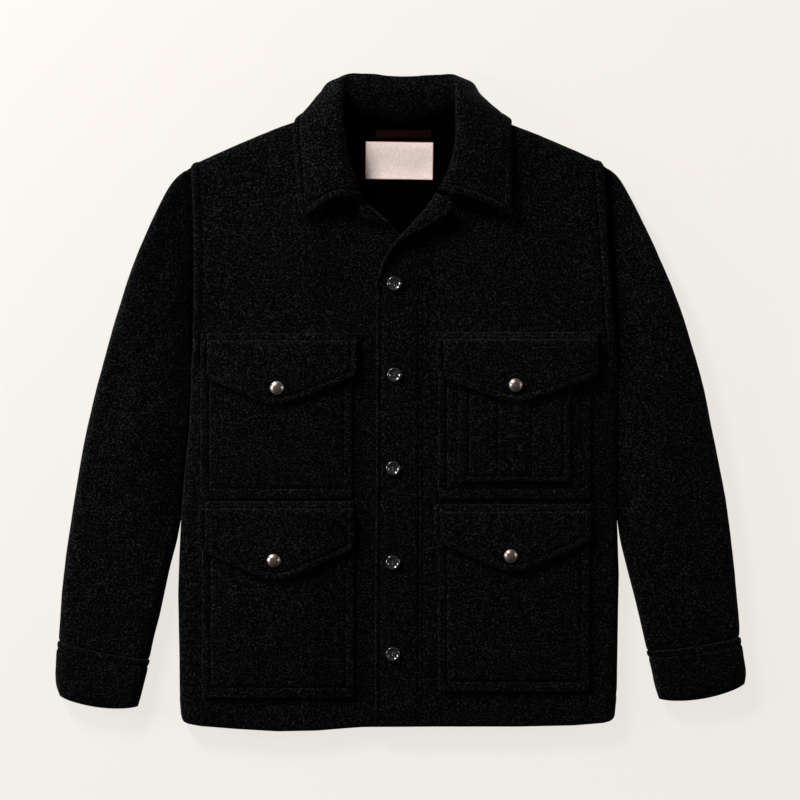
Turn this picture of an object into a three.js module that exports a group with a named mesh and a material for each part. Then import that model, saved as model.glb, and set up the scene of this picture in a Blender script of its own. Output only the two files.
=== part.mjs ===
// A wool mackinaw jacket laid flat on its back, front up, buttoned but for the open neck.
// Millimetres. +X is the wearer's left, +Y runs from hem to collar, +Z is up from the surface.
// The origin is on the underside of the back, at the middle of the laid-out jacket.
import * as THREE from "three";

// Driving sizes
const CLOTH = 3; // thickness of the heavy wool
const SEAM_GAP = 0.3; // between two pieces that are sewn together
const LAY_GAP = 0.5; // between a panel and what lies on it
const SEAM_Z = 8.5; // height of the side and shoulder seams above the surface
const FRONT_Z = 17; // height of the front's outer face
const EDGE_R = 14; // how far in from a side or shoulder seam the cloth turns over
const NECK_LIFT = 3.6; // the back's neck is lifted by the collar leaf that lies below it
const CUFF_CLOTH = 3.6; // a cuff is two thinner layers, pressed together
const LABEL_THICK = 0.8;
const TAPE_THICK = 1.2;
const BUTTON_R = 8.9;
const SNAP_R = 8.3;

const WOOL = 0x1d1d1f;
const WOOL_ROUGHNESS = 0.95;

// Distances in from a turned edge at which its quarter round is stepped
const TURN_STEPS = [0, 30, 60, 90].map((degrees) => {
  const angle = THREE.MathUtils.degToRad(degrees);
  return EDGE_R * (1 - Math.cos(angle));
});

const clamp01 = (t) => Math.min(1, Math.max(0, t));
const smooth = (t) => clamp01(t) ** 2 * (3 - 2 * clamp01(t));
const mix = (a, b, t) => a + (b - a) * t;
const mix2 = (a, b, t) => [mix(a[0], b[0], t), mix(a[1], b[1], t)];

// The value at key in a table of [key, value] rows in rising order, on straight lines between rows.
function lookUp(rows, key) {
  let i = 1;
  while (i < rows.length - 1 && rows[i][0] < key) i += 1;
  const [[k0, v0], [k1, v1]] = [rows[i - 1], rows[i]];
  return mix(v0, v1, clamp01((key - k0) / (k1 - k0)));
}

// Outline of the body, laid flat. Each table is [y, x] up one edge.
const SIDE = {
  right: [[-397, -274.5], [-367, -277], [-310, -277.5], [-243, -279], [-192, -277.5],
    [-139.5, -275], [-100, -272], [-30, -265], [44.5, -262]],
  left: [[-397, 268], [-360, 271.5], [-292, 272.5], [-217, 274], [-169.5, 272.5], [-110, 270.5],
    [-43, 271], [44.5, 272]],
};
const ARMPIT_Y = 44.5;
const SHOULDER_TIP = { right: [-263, 295.5], left: [254.5, 298] };
const NECK_POINT = { right: [-77, 369], left: [77, 368] };
const ARMHOLE_BOW = { right: 3.5, left: -0.5 };
const SHOULDER_BOW = 4.4;
const NECK_DIP = 26; // the back neckline's drop at its middle

// Hem, [x, y] from the wearer's right to left
const HEM = [
  [-274.5, -397], [-272, -400.5], [-266, -403.5], [-250, -406.5], [-205, -410], [-153, -413],
  [-102, -412], [-40, -407.5], [45, -407], [150, -407], [218, -405.5], [254, -402.5], [263, -400],
  [268, -397],
];

// Front edges and neckline, [y, x] from the hem to the neck point
const INNER = {
  right: [[-407, 30], [174, 22], [202, 5.5], [222, -13], [237, -29.5], [249, -45.5], [251, -54],
    [259, -62], [277, -70.5], [312, -78], [345, -81], [369, -77]],
  left: [[-407.5, -33], [-405, -32], [139.5, -29.7], [154, -26.1], [175, -18.9], [193, -7.8],
    [210.5, 7.5], [225, 20.3], [240, 34.6], [252, 48], [262, 64], [277, 72.5], [312, 79],
    [345.5, 81], [368, 77]],
};

// Edge of the armhole at height y, between armpit and shoulder tip
function armholeX(side, y) {
  const share = (y - ARMPIT_Y) / (SHOULDER_TIP[side][1] - ARMPIT_Y);
  const armpitX = lookUp(SIDE[side], ARMPIT_Y);
  return mix(armpitX, SHOULDER_TIP[side][0], share) + ARMHOLE_BOW[side] * 4 * share * (1 - share);
}

const outerX = (side, y) => (y <= ARMPIT_Y ? lookUp(SIDE[side], y) : armholeX(side, y));

// Shoulder seam from the tip (0) to the neck point (1), with its slight rise
function shoulderPoint(side, t) {
  const [x, y] = mix2(SHOULDER_TIP[side], NECK_POINT[side], t);
  return [x, y + SHOULDER_BOW * 4 * t * (1 - t)];
}

// Nearest point to p on a polyline
function nearestOn(line, p) {
  let best = { distance: Infinity, point: line[0] };
  for (let i = 1; i < line.length; i += 1) {
    const [a, b] = [line[i - 1], line[i]];
    const run = [b[0] - a[0], b[1] - a[1]];
    const t = clamp01(((p[0] - a[0]) * run[0] + (p[1] - a[1]) * run[1]) / (run[0] ** 2 + run[1] ** 2));
    const point = mix2(a, b, t);
    const distance = Math.hypot(p[0] - point[0], p[1] - point[1]);
    if (distance < best.distance) best = { distance, point };
  }
  return best;
}

const SHOULDER_STEPS = 12;
const TURNED_EDGES = ["right", "left"].flatMap((side) => {
  const away = side === "right" ? -1 : 1;
  const run = [SHOULDER_TIP[side][0] - NECK_POINT[side][0], NECK_POINT[side][1] - SHOULDER_TIP[side][1]];
  const length = Math.hypot(...run);
  return [
    { line: SIDE[side].map(([y, x]) => [x, y]), out: [away, 0] },
    {
      line: Array.from({ length: SHOULDER_STEPS + 1 }, (_, i) => shoulderPoint(side, i / SHOULDER_STEPS)),
      out: [(away * run[1]) / length, Math.abs(run[0]) / length],
    },
  ];
});
const ON_SEAM = 0.4; // nearer to a seam than this, a point turns the way that the seam faces

// How the cloth turns at p towards the nearest side or shoulder seam: level is 1 at the seam and 0 past
// the turn, upright the other way round, and out is the level direction to the seam.
function turnAt(p) {
  const found = TURNED_EDGES.map((edge) => ({ ...nearestOn(edge.line, p), facing: edge.out }))
    .sort((a, b) => a.distance - b.distance)[0];
  const { distance, point, facing } = found;
  const level = clamp01(1 - distance / EDGE_R);
  const out = distance > ON_SEAM ? [(point[0] - p[0]) / distance, (point[1] - p[1]) / distance] : facing;
  return { level, upright: Math.sqrt(1 - level ** 2), out };
}

// Soft folds in the front, each a trough (depth below 0) or ridge along a line
const FOLDS = [
  { x: -215, y: 60, alongX: 70, alongY: 60, width: 26, depth: -1.3 },
  { x: -120, y: 190, alongX: 25, alongY: 80, width: 40, depth: 1.4 },
  { x: -262, y: -150, alongX: 10, alongY: 110, width: 18, depth: -1.2 },
  { x: 232, y: 100, alongX: -50, alongY: 70, width: 24, depth: -1.5 },
  { x: 150, y: 190, alongX: -20, alongY: 85, width: 42, depth: 1.6 },
  { x: 258, y: -90, alongX: -6, alongY: 120, width: 18, depth: -1.4 },
  { x: 20, y: -250, alongX: 8, alongY: 130, width: 20, depth: -0.9 },
];

function foldHeight(x, y) {
  return FOLDS.reduce((sum, fold) => {
    const length = Math.hypot(fold.alongX, fold.alongY);
    const along = ((x - fold.x) * fold.alongX + (y - fold.y) * fold.alongY) / length;
    const across = ((x - fold.x) * fold.alongY - (y - fold.y) * fold.alongX) / length;
    return sum + fold.depth * Math.exp(-((along / length) ** 2) - (across / fold.width) ** 2);
  }, 0);
}

// The right front dips to pass under the left one along the button edge.
const LAP_FROM_X = -118;
const LAP_TO_X = -70;
const LAP_DROP = CLOTH + LAY_GAP;
// The left front swells towards the roll of its lapel.
const ROLL_LINE = INNER.left.filter(([y]) => y > 150 && y < 260).map(([y, x]) => [x, y]);
const ROLL_SWELL = 2.5;
const ROLL_REACH = 55;

function frontTopZ(side, x, y) {
  const full = FRONT_Z + foldHeight(x, y);
  if (side === "right") return full - LAP_DROP * smooth((x - LAP_FROM_X) / (LAP_TO_X - LAP_FROM_X));
  const away = nearestOn(ROLL_LINE, [x, y]).distance;
  return full + ROLL_SWELL * (1 - smooth(away / ROLL_REACH));
}

// Outer face of a front at [x, y], with its normal
function frontFace(side, [x, y]) {
  const turn = turnAt([x, y]);
  const rise = frontTopZ(side, x, y) - SEAM_Z;
  const normal = new THREE.Vector3(
    (turn.out[0] * turn.level) / EDGE_R, (turn.out[1] * turn.level) / EDGE_R, turn.upright / rise,
  ).normalize();
  const z = SEAM_Z + SEAM_GAP / 2 + (rise - SEAM_GAP / 2) * turn.upright;
  return { point: new THREE.Vector3(x, y, z), normal };
}

const LIFT_FROM_Y = 285;
const LIFT_TO_Y = 328;

const backLift = (y) => NECK_LIFT * smooth((y - LIFT_FROM_Y) / (LIFT_TO_Y - LIFT_FROM_Y));

// Outer face of the back, which rests on the surface, with its normal
function backFace([x, y]) {
  const turn = turnAt([x, y]);
  const drop = SEAM_Z - backLift(y);
  const normal = new THREE.Vector3(
    (turn.out[0] * turn.level) / EDGE_R, (turn.out[1] * turn.level) / EDGE_R, -turn.upright / drop,
  ).normalize();
  const z = SEAM_Z - SEAM_GAP / 2 - (drop - SEAM_GAP / 2) * turn.upright;
  return { point: new THREE.Vector3(x, y, z), normal };
}

// A closed wall between two grids of points, faces[i][j] and backs[i][j]. The first index may run round.
function wallGeometry(faces, backs, round = false) {
  const [rows, columns] = [faces.length, faces[0].length];
  const positions = [...faces.flat(), ...backs.flat()].flatMap((p) => [p.x, p.y, p.z]);
  const face = (i, j) => (i % rows) * columns + j;
  const back = (i, j) => face(i, j) + rows * columns;
  const indices = [];
  const quad = (a, b, c, d) => indices.push(a, b, c, a, c, d);
  const lastRow = round ? rows : rows - 1;
  for (let i = 0; i < lastRow; i += 1) {
    for (let j = 0; j < columns - 1; j += 1) {
      quad(face(i, j), face(i + 1, j), face(i + 1, j + 1), face(i, j + 1));
      quad(back(i, j), back(i, j + 1), back(i + 1, j + 1), back(i + 1, j));
    }
    quad(face(i, 0), back(i, 0), back(i + 1, 0), face(i + 1, 0));
    quad(face(i, columns - 1), face(i + 1, columns - 1), back(i + 1, columns - 1), back(i, columns - 1));
  }
  if (!round) {
    for (let j = 0; j < columns - 1; j += 1) {
      quad(face(0, j), face(0, j + 1), back(0, j + 1), back(0, j));
      quad(face(rows - 1, j), back(rows - 1, j), back(rows - 1, j + 1), face(rows - 1, j + 1));
    }
  }
  const geometry = new THREE.BufferGeometry();
  geometry.setAttribute("position", new THREE.Float32BufferAttribute(positions, 3));
  geometry.setIndex(indices);
  return outward(geometry);
}

// Turns a closed geometry's faces outwards.
function outward(geometry) {
  const [position, index] = [geometry.getAttribute("position"), geometry.getIndex().array];
  const [a, b, c] = [new THREE.Vector3(), new THREE.Vector3(), new THREE.Vector3()];
  let volume = 0;
  for (let i = 0; i < index.length; i += 3) {
    a.fromBufferAttribute(position, index[i]);
    b.fromBufferAttribute(position, index[i + 1]);
    c.fromBufferAttribute(position, index[i + 2]);
    volume += a.dot(b.cross(c));
  }
  if (volume < 0) {
    for (let i = 0; i < index.length; i += 3) [index[i + 1], index[i + 2]] = [index[i + 2], index[i + 1]];
  }
  geometry.computeVertexNormals();
  return geometry;
}

const jacket = new THREE.Group();

function addPiece(name, geometry, look = {}) {
  const material = new THREE.MeshStandardMaterial({
    color: WOOL, roughness: WOOL_ROUGHNESS, metalness: 0, ...look,
  });
  const mesh = new THREE.Mesh(geometry, material);
  mesh.name = name;
  jacket.add(mesh);
}

// The two sides of a panel through plan points, its face given by faceAt(plan point)
function panelSides(plan, faceAt) {
  const found = plan.map((row) => row.map(faceAt));
  const faces = found.map((row) => row.map((f) => f.point));
  const backs = found.map((row) => row.map((f) => f.point.clone().addScaledVector(f.normal, -CLOTH)));
  return { faces, backs };
}

// Height at [x, y] of the surface through a grid of points
function heightOn(grid, x, y) {
  const corners = [[[0, 0], [1, 0], [1, 1]], [[0, 0], [1, 1], [0, 1]]];
  let height = -Infinity;
  for (let i = 0; i < grid.length - 1; i += 1) {
    for (let j = 0; j < grid[0].length - 1; j += 1) {
      for (const [a, b, c] of corners.map((three) => three.map(([di, dj]) => grid[i + di][j + dj]))) {
        const area = (b.x - a.x) * (c.y - a.y) - (c.x - a.x) * (b.y - a.y);
        if (area === 0) continue;
        const toB = ((x - a.x) * (c.y - a.y) - (c.x - a.x) * (y - a.y)) / area;
        const toC = ((b.x - a.x) * (y - a.y) - (x - a.x) * (b.y - a.y)) / area;
        if (Math.min(toB, toC, 1 - toB - toC) < -1e-6) continue;
        height = Math.max(height, a.z + toB * (b.z - a.z) + toC * (c.z - a.z));
      }
    }
  }
  return height;
}

// Heights up the outer edge at which a panel has a row of points
const LOWER_ROWS = [-397, -375, -320, -260, -200, -140, -80, -30, 10, 30];
const UPPER_ROWS = [80, 112, 135, 155, 175, 195, 215, 255];
const rowHeights = (side) => [
  ...LOWER_ROWS,
  ...TURN_STEPS.map((step) => ARMPIT_Y + step),
  ...UPPER_ROWS,
  ...TURN_STEPS.map((step) => SHOULDER_TIP[side][1] - step).reverse(),
];

const SHAPED_FROM_Y = 150; // from here up the rows take on the shoulder's bow and the neck's dip

// The height on a neckline that a row from height y on the outer edge runs to
function innerHeight(side, y) {
  const tip = SHOULDER_TIP[side][1];
  const neck = NECK_POINT[side][1];
  return lookUp([[-397, -407], [-375, -375], [0, 0], [tip - EDGE_R, neck - EDGE_R], [tip, neck]], y);
}

// One row of plan points from the outer edge to inner, first stepped over the turned edge
function rowPoints(side, y, inner, spread) {
  const outer = [outerX(side, y), y];
  const span = Math.hypot(inner[0] - outer[0], inner[1] - outer[1]);
  const shares = [...TURN_STEPS.map((step) => step / span)];
  const turned = shares[shares.length - 1];
  for (let i = 1; i <= spread; i += 1) shares.push(mix(turned, 1, i / spread));
  const bow = SHOULDER_BOW * smooth((y - SHAPED_FROM_Y) / (SHOULDER_TIP[side][1] - SHAPED_FROM_Y));
  const toNeck = Math.hypot(NECK_POINT[side][0] - outer[0], NECK_POINT[side][1] - outer[1]);
  return shares.map((share) => {
    const [px, py] = mix2(outer, inner, share);
    const reach = (share * span) / toNeck;
    return [px, py + bow * 4 * Math.max(0, reach * (1 - reach))];
  });
}

const onHem = ([x]) => [x, lookUp(HEM, x)];

const FRONT_SPREAD = 7;

const FRONT_SIDES = {};

for (const side of ["right", "left"]) {
  const plan = rowHeights(side).map((y, row) => {
    const innerY = innerHeight(side, y);
    const points = rowPoints(side, y, [lookUp(INNER[side], innerY), innerY], FRONT_SPREAD);
    return row === 0 ? points.map(onHem) : points;
  });
  FRONT_SIDES[side] = panelSides(plan, (p) => frontFace(side, p));
  addPiece(`front_${side}`, wallGeometry(FRONT_SIDES[side].faces, FRONT_SIDES[side].backs));
}

// Back: each row runs from one outer edge to the other, dipping at the neck in the upper rows.
const BACK_SPREAD = 3;
const NECK_COLUMNS = 4;

function backRow(row) {
  const heights = { right: rowHeights("right")[row], left: rowHeights("left")[row] };
  const ends = {};
  for (const side of ["right", "left"]) {
    const innerY = innerHeight(side, heights[side]);
    ends[side] = rowPoints(side, heights[side], [NECK_POINT[side][0], innerY], BACK_SPREAD);
  }
  const [from, to] = [ends.right.at(-1), ends.left.at(-1)];
  const dip = NECK_DIP * smooth((heights.right - SHAPED_FROM_Y) / (SHOULDER_TIP.right[1] - SHAPED_FROM_Y));
  const middle = [];
  for (let i = 1; i < NECK_COLUMNS; i += 1) {
    const [x, y] = mix2(from, to, i / NECK_COLUMNS);
    middle.push([x, y - dip * Math.sin((Math.PI * i) / NECK_COLUMNS)]);
  }
  const points = [...ends.right, ...middle, ...ends.left.reverse()];
  return row === 0 ? points.map(onHem) : points;
}

const backPlan = rowHeights("right").map((_, row) => backRow(row));
const BACK_SIDES = panelSides(backPlan, backFace);
addPiece("back", wallGeometry(BACK_SIDES.faces, BACK_SIDES.backs));

// Sleeve sections. outer and inner are the two ends of a section's chord in plan, height its thickness
// over all, bow how far its middle is pushed along the sleeve.
const SLEEVE = {
  right: [
    { outer: [-281.5, 281], inner: [-264, 30.5], height: 19.5, bow: 2 },
    { outer: [-295, 261.5], inner: [-265, 15.5], height: 21.5, bow: 0 },
    { outer: [-312.5, 224.5], inner: [-266.5, -4.5], height: 23, bow: 0 },
    { outer: [-331.5, 179.5], inner: [-268.5, -28], height: 23.5, bow: 0 },
    { outer: [-351, 123], inner: [-271, -60.5], height: 23.5, bow: 0 },
    { outer: [-367, 67], inner: [-275, -98], height: 23, bow: 0 },
    { outer: [-383, 8], inner: [-279, -135.5], height: 22.5, bow: 0 },
    { outer: [-396, -48], inner: [-283, -170], height: 22, bow: 0 },
    { outer: [-407, -110.5], inner: [-290, -208], height: 21.5, bow: 0 },
    { outer: [-415.5, -167], inner: [-296, -240.5], height: 21, bow: 0 },
    { outer: [-423, -223], inner: [-302, -268], height: 20, bow: 0 },
    { outer: [-427, -273], inner: [-309.5, -297], height: 19, bow: 0 },
    { outer: [-429, -299.5], inner: [-315, -323], height: 18, bow: 3 },
  ],
  left: [
    { outer: [273.5, 281.5], inner: [273.8, 29.5], height: 19.5, bow: 2 },
    { outer: [289, 255.5], inner: [274.4, 14.5], height: 21.5, bow: 0 },
    { outer: [304, 225], inner: [274.2, -4.5], height: 23, bow: 0 },
    { outer: [322.5, 183.5], inner: [273.6, -28], height: 23.5, bow: 0 },
    { outer: [344, 133.5], inner: [273.1, -60.5], height: 23.5, bow: 0 },
    { outer: [363, 77], inner: [272.9, -98], height: 23, bow: 0 },
    { outer: [380.5, 14.5], inner: [273.8, -135.5], height: 22.5, bow: 0 },
    { outer: [393, -48], inner: [277.8, -170], height: 22, bow: 0 },
    { outer: [404.5, -104.5], inner: [284.5, -207], height: 21.5, bow: 0 },
    { outer: [413, -160.5], inner: [291.5, -238], height: 21, bow: 0 },
    { outer: [420.5, -229.5], inner: [298, -264.5], height: 20, bow: 0 },
    { outer: [424.5, -273], inner: [304, -290.5], height: 19, bow: 0 },
    { outer: [425.5, -294.5], inner: [309, -312], height: 18, bow: 3 },
  ],
};

// Cuff sections, from the seam with the sleeve to the opening
const CUFF = {
  right: [
    { outer: [-429.5, -300], inner: [-314.5, -323.5], height: 19.5, bow: 3 },
    { outer: [-431.5, -323], inner: [-320, -345.5], height: 19, bow: 4 },
    { outer: [-432, -351], inner: [-325.5, -367], height: 18, bow: 5 },
    { outer: [-426.5, -370], inner: [-330, -383], height: 16.5, bow: 6.5 },
  ],
  left: [
    { outer: [426, -295], inner: [308.5, -312.5], height: 19.5, bow: 3 },
    { outer: [429.5, -316], inner: [314.5, -333], height: 19, bow: 4.5 },
    { outer: [433, -339.5], inner: [319.5, -356.5], height: 18, bow: 6 },
    { outer: [431, -355], inner: [325, -373.5], height: 16.5, bow: 8 },
  ],
};

const CROWN = 1.2; // how much higher a section is at its middle
const SECTION_SPREAD = 4; // steps of a section's flat between its two turns

// Shares of a section's chord at which it has points, with the height of its round there
function chordSteps(span) {
  const turned = TURN_STEPS.map((step) => {
    const round = Math.sqrt(1 - (1 - step / EDGE_R) ** 2);
    return { share: step / span, round };
  });
  const flat = [];
  for (let i = 1; i < SECTION_SPREAD; i += 1) {
    flat.push({ share: mix(EDGE_R / span, 1 - EDGE_R / span, i / SECTION_SPREAD), round: 1 });
  }
  const far = turned.map(({ share, round }) => ({ share: 1 - share, round })).reverse();
  return [...turned, ...flat, ...far];
}

// The closed ring of points of one flattened section
function sectionRing({ planAt, span, height }) {
  const steps = chordSteps(span);
  const half = height / 2;
  const point = ({ share, round }, way) => {
    const [x, y] = planAt(share);
    const crowned = way > 0 && height > FRONT_Z;
    const crown = crowned ? CROWN * 4 * share * (1 - share) : 0;
    return new THREE.Vector3(x, y, half + way * half * round + crown);
  };
  const top = steps.map((step) => point(step, 1));
  const bottom = steps.slice(1, -1).reverse().map((step) => point(step, -1));
  return [...top, ...bottom];
}

function straightSection({ outer, inner, height, bow }) {
  const run = [inner[0] - outer[0], inner[1] - outer[1]];
  const span = Math.hypot(...run);
  const down = run[0] > 0 ? [run[1] / span, -run[0] / span] : [-run[1] / span, run[0] / span];
  const planAt = (share) => {
    const [x, y] = mix2(outer, inner, share);
    const push = bow * 4 * share * (1 - share);
    return [x + down[0] * push, y + down[1] * push];
  };
  return { planAt, span, height };
}

const ARMHOLE_GAP = 0.45;

// The sleeve's first section runs along the armhole, just clear of the body.
function armholeSection(side) {
  const away = ARMHOLE_GAP * (side === "right" ? -1 : 1);
  const tipY = SHOULDER_TIP[side][1];
  const planAt = (share) => {
    const y = mix(tipY, ARMPIT_Y, share);
    return [armholeX(side, y) + away, y];
  };
  return { planAt, span: tipY - ARMPIT_Y, height: FRONT_Z };
}

// A tube's wall through rings, with the end walls kept in the plane of their rings
function tubeGeometry(rings, thickness) {
  const size = rings[0].length;
  const normals = rings.map((ring, i) => ring.map((p, j) => {
    const around = ring[(j + 1) % size].clone().sub(ring[(j + size - 1) % size]);
    const along = rings[Math.min(i + 1, rings.length - 1)][j].clone().sub(rings[Math.max(i - 1, 0)][j]);
    const normal = around.cross(along).normalize();
    if (i === 0 || i === rings.length - 1) {
      const chord = ring[Math.floor(size / 2)].clone().sub(ring[0]);
      const through = new THREE.Vector3(chord.y, -chord.x, 0).normalize();
      normal.addScaledVector(through, -normal.dot(through)).normalize();
    }
    return normal;
  }));
  const onTop = Math.floor(size / 4);
  const inner = rings.map((ring, i) => {
    const way = -Math.sign(normals[i][onTop].z);
    return ring.map((p, j) => p.clone().addScaledVector(normals[i][j], way * thickness));
  });
  const turned = (grid) => grid[0].map((_, j) => grid.map((ring) => ring[j]));
  return wallGeometry(turned(rings), turned(inner), true);
}

for (const side of ["right", "left"]) {
  const rings = [armholeSection(side), ...SLEEVE[side].map(straightSection)].map(sectionRing);
  addPiece(`sleeve_${side}`, tubeGeometry(rings, CLOTH));
  addPiece(`cuff_${side}`, tubeGeometry(CUFF[side].map(straightSection).map(sectionRing), CUFF_CLOTH));
}

// Collar sections, [x, y, z]: seam is the visible edge at the neck seam, fold the line where the stand turns
// into the leaf, leaf a point on the leaf, edge its free edge. stand is the height of the stand's middle and
// turn how far the leaf first rises (or drops) past the fold.
const COLLAR = [
  [[-54, 249, 19], [-48, 254, 25], [-79, 255, 32], [-121, 230, 26], 22, 3],
  [[-56, 257, 18], [-49.5, 260, 26], [-84, 262, 32.5], [-127, 243, 25], 21, 4],
  [[-61, 267, 17], [-52.5, 270.5, 28], [-88, 274, 33], [-129, 260.5, 24], 21, 4],
  [[-67.5, 285, 16], [-58, 287, 30], [-94, 292, 33], [-130.5, 289.5, 23.5], 21, 4],
  [[-72.5, 305, 15], [-65, 312, 31], [-98, 315.5, 33], [-132.5, 314.5, 23.5], 22, 4],
  [[-74.6, 325, 13.5], [-70, 339.5, 31], [-102, 338, 32.5], [-134.5, 333, 23], 21, 4],
  [[-75.4, 343, 12.5], [-71.5, 362, 30], [-107, 357, 28], [-134, 346, 20.5], 20, 4],
  [[-73.5, 358, 12.5], [-72.5, 379.5, 28], [-112, 368.5, 20], [-130.5, 355.5, 11.5], 18, 3],
  [[-66, 367, 12], [-73, 393, 24], [-102, 386, 12], [-119, 358.5, 0.6], 17, 0],
  [[-56.5, 363.5, 10.5], [-72, 405, 17], [-93, 399.5, 4], [-103, 344, 0], 16, -2],
  [[-46, 358, 9.5], [-62, 412, 9], [-72, 404.5, 0.6], [-78, 340, 0], 15, -4],
  [[-27, 351.5, 9], [-34, 411, 8], [-36, 402, 0], [-40, 339, 0], 14, -4],
  [[-1, 346, 8.5], [-1, 408.5, 7.5], [-1, 400, 0], [-1, 339, 0], 13.5, -4],
  [[26, 351, 9], [34, 410, 8], [36, 401, 0], [40, 339, 0], 14, -4],
  [[45, 357.5, 9.5], [63, 411, 9], [71, 404, 0.6], [78, 340, 0], 15, -4],
  [[56.5, 363, 10.5], [72, 404, 17], [92, 399.5, 4], [101, 344, 0], 16, -2],
  [[66, 366.5, 12], [70.5, 392, 24], [99, 386, 12], [122, 360, 0.6], 17, 0],
  [[73, 357.5, 12.5], [69.5, 377, 28], [111, 368, 20], [138.5, 354.5, 11], 18, 3],
  [[75.5, 342, 13], [69, 354.5, 31], [103, 352, 29], [139, 342.5, 20.5], 20, 4],
  [[74.5, 324, 14.5], [68.5, 330, 32], [101, 330.5, 34], [138.5, 327, 24], 21, 4],
  [[72, 303, 17], [65, 307, 33], [98, 308, 35.5], [138.5, 304, 25], 23, 4],
  [[67.5, 284, 20], [58, 287, 33], [95.5, 287, 36], [138.5, 280, 27], 25, 4],
  [[63, 274, 23], [52, 274.5, 32], [92, 267, 36.5], [138.5, 257, 29], 26, 4],
  [[60, 268, 26.5], [46.5, 264.5, 30], [89, 254.5, 36.5], [137.5, 234, 31], 28, 3],
].map(([seam, fold, leaf, edge, stand, turn]) => ({ seam, fold, leaf, edge, stand, turn }));
const COLLAR_STEPS = 12;
const FOLD_REACH = 6;
const STAND_SHARE = 0.7; // where the stand's middle lies in plan, from seam to fold

// Points of one collar section, from the neck seam round the fold to the free edge
function collarSection({ seam, fold, leaf, edge, stand, turn }) {
  const over = new THREE.Vector3(leaf[0] - fold[0], leaf[1] - fold[1], 0).setLength(FOLD_REACH);
  const rise = new THREE.Vector3(...mix2(seam, fold, STAND_SHARE), stand);
  const past = new THREE.Vector3(fold[0] + over.x, fold[1] + over.y, fold[2] + turn);
  const curve = new THREE.CatmullRomCurve3([
    new THREE.Vector3(...seam), rise, new THREE.Vector3(...fold), past,
    new THREE.Vector3(...leaf), new THREE.Vector3(...edge),
  ], false, "centripetal");
  const points = curve.getSpacedPoints(COLLAR_STEPS - 1);
  points.forEach((point) => { point.z = Math.max(0, point.z); });
  return points;
}

const NORMAL_PASSES = 2;

// Normals of an open grid of points, evened out so that a wall doesn't cross itself in a tight fold
function gridNormals(grid) {
  const [rows, columns] = [grid.length, grid[0].length];
  const near = (table, i, j) => {
    const row = table[Math.min(Math.max(i, 0), rows - 1)];
    return row[Math.min(Math.max(j, 0), columns - 1)];
  };
  let normals = grid.map((row, i) => row.map((_, j) => {
    const along = near(grid, i + 1, j).clone().sub(near(grid, i - 1, j));
    const across = near(grid, i, j + 1).clone().sub(near(grid, i, j - 1));
    return along.cross(across).normalize();
  }));
  for (let pass = 0; pass < NORMAL_PASSES; pass += 1) {
    normals = normals.map((row, i) => row.map((normal, j) => normal.clone().multiplyScalar(2)
      .add(near(normals, i + 1, j)).add(near(normals, i - 1, j)).add(near(normals, i, j + 1))
      .add(near(normals, i, j - 1)).normalize()));
  }
  return normals;
}

// A wall through an open grid of face points, thicknessAt(row) thick. way is 1 or -1, the side of the grid
// that the cloth lies on.
function sheetGeometry(grid, thicknessAt, way) {
  const normals = gridNormals(grid);
  const backs = grid.map((row, i) => row.map((p, j) => {
    const back = p.clone().addScaledVector(normals[i][j], way * thicknessAt(i));
    back.z = Math.max(0, back.z);
    return back;
  }));
  return wallGeometry(grid, backs);
}

addPiece("collar", sheetGeometry(COLLAR.map(collarSection), () => CLOTH, -1));

// Lapels: the turned-out edge of a front, from its roll to its free edge. low is the height of the roll's
// lower side, crest that of the roll's top and free that of the free edge.
const LAPEL = {
  left: [
    { roll: [-33, 140], edge: [-28.4, 145], low: 19.6, crest: 20.3, free: 20.5 },
    { roll: [-29.3, 155], edge: [-23, 161], low: 18.6, crest: 22.3, free: 23 },
    { roll: [-22, 176], edge: [-14, 181], low: 18, crest: 25, free: 25.5 },
    { roll: [-10.5, 195], edge: [-1, 199], low: 18.5, crest: 27.5, free: 28 },
    { roll: [5, 212.5], edge: [18, 211], low: 19, crest: 29, free: 30 },
    { roll: [18, 227], edge: [40, 223], low: 19, crest: 30, free: 31.5 },
    { roll: [32, 242], edge: [59, 234], low: 19, crest: 30.5, free: 33 },
    { roll: [45, 261], edge: [65.5, 246], low: 20, crest: 30.5, free: 33 },
  ],
  right: [
    { roll: [-47, 251.5], edge: [-55, 246], low: 15, crest: 22, free: 23.5 },
    { roll: [-36, 243], edge: [-46, 230], low: 14.5, crest: 21.5, free: 23 },
    { roll: [-26, 234], edge: [-31, 225.5], low: 14, crest: 20.5, free: 21 },
    { roll: [-15, 225], edge: [-17, 221.5], low: 14, crest: 18.4, free: 18.4 },
  ],
};
const LAPEL_STEPS = 5;
const LAPEL_CLOTH = 2.6;
const LAPEL_THIN = 0.7; // at its first row, where the roll starts out of the front's edge
const LAPEL_GAIN = 0.7; // more at each row from there
const lapelThickness = (row) => Math.min(LAPEL_CLOTH, LAPEL_THIN + LAPEL_GAIN * row);

const ROLL_SIDE = 0.55; // share of the roll's height at which its side is upright
const ROLL_TOP = 0.22; // share of the lapel's width at which its roll is highest

function lapelSection({ roll, edge, low, crest, free }) {
  const curve = new THREE.CatmullRomCurve3([
    new THREE.Vector3(...roll, low),
    new THREE.Vector3(...roll, mix(low, crest, ROLL_SIDE)),
    new THREE.Vector3(...mix2(roll, edge, ROLL_TOP), crest),
    new THREE.Vector3(...edge, free),
  ], false, "centripetal");
  return curve.getPoints(LAPEL_STEPS);
}

// Pockets and flaps lie on the fronts. A patch of cloth spans plan points, its under face at baseZ.
function patchGeometry(plan, baseZ, thickness) {
  const backs = plan.map((row) => row.map(([x, y]) => new THREE.Vector3(x, y, baseZ(x, y))));
  const faces = backs.map((row) => row.map((p) => new THREE.Vector3(p.x, p.y, p.z + thickness)));
  return wallGeometry(faces, backs);
}

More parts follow.
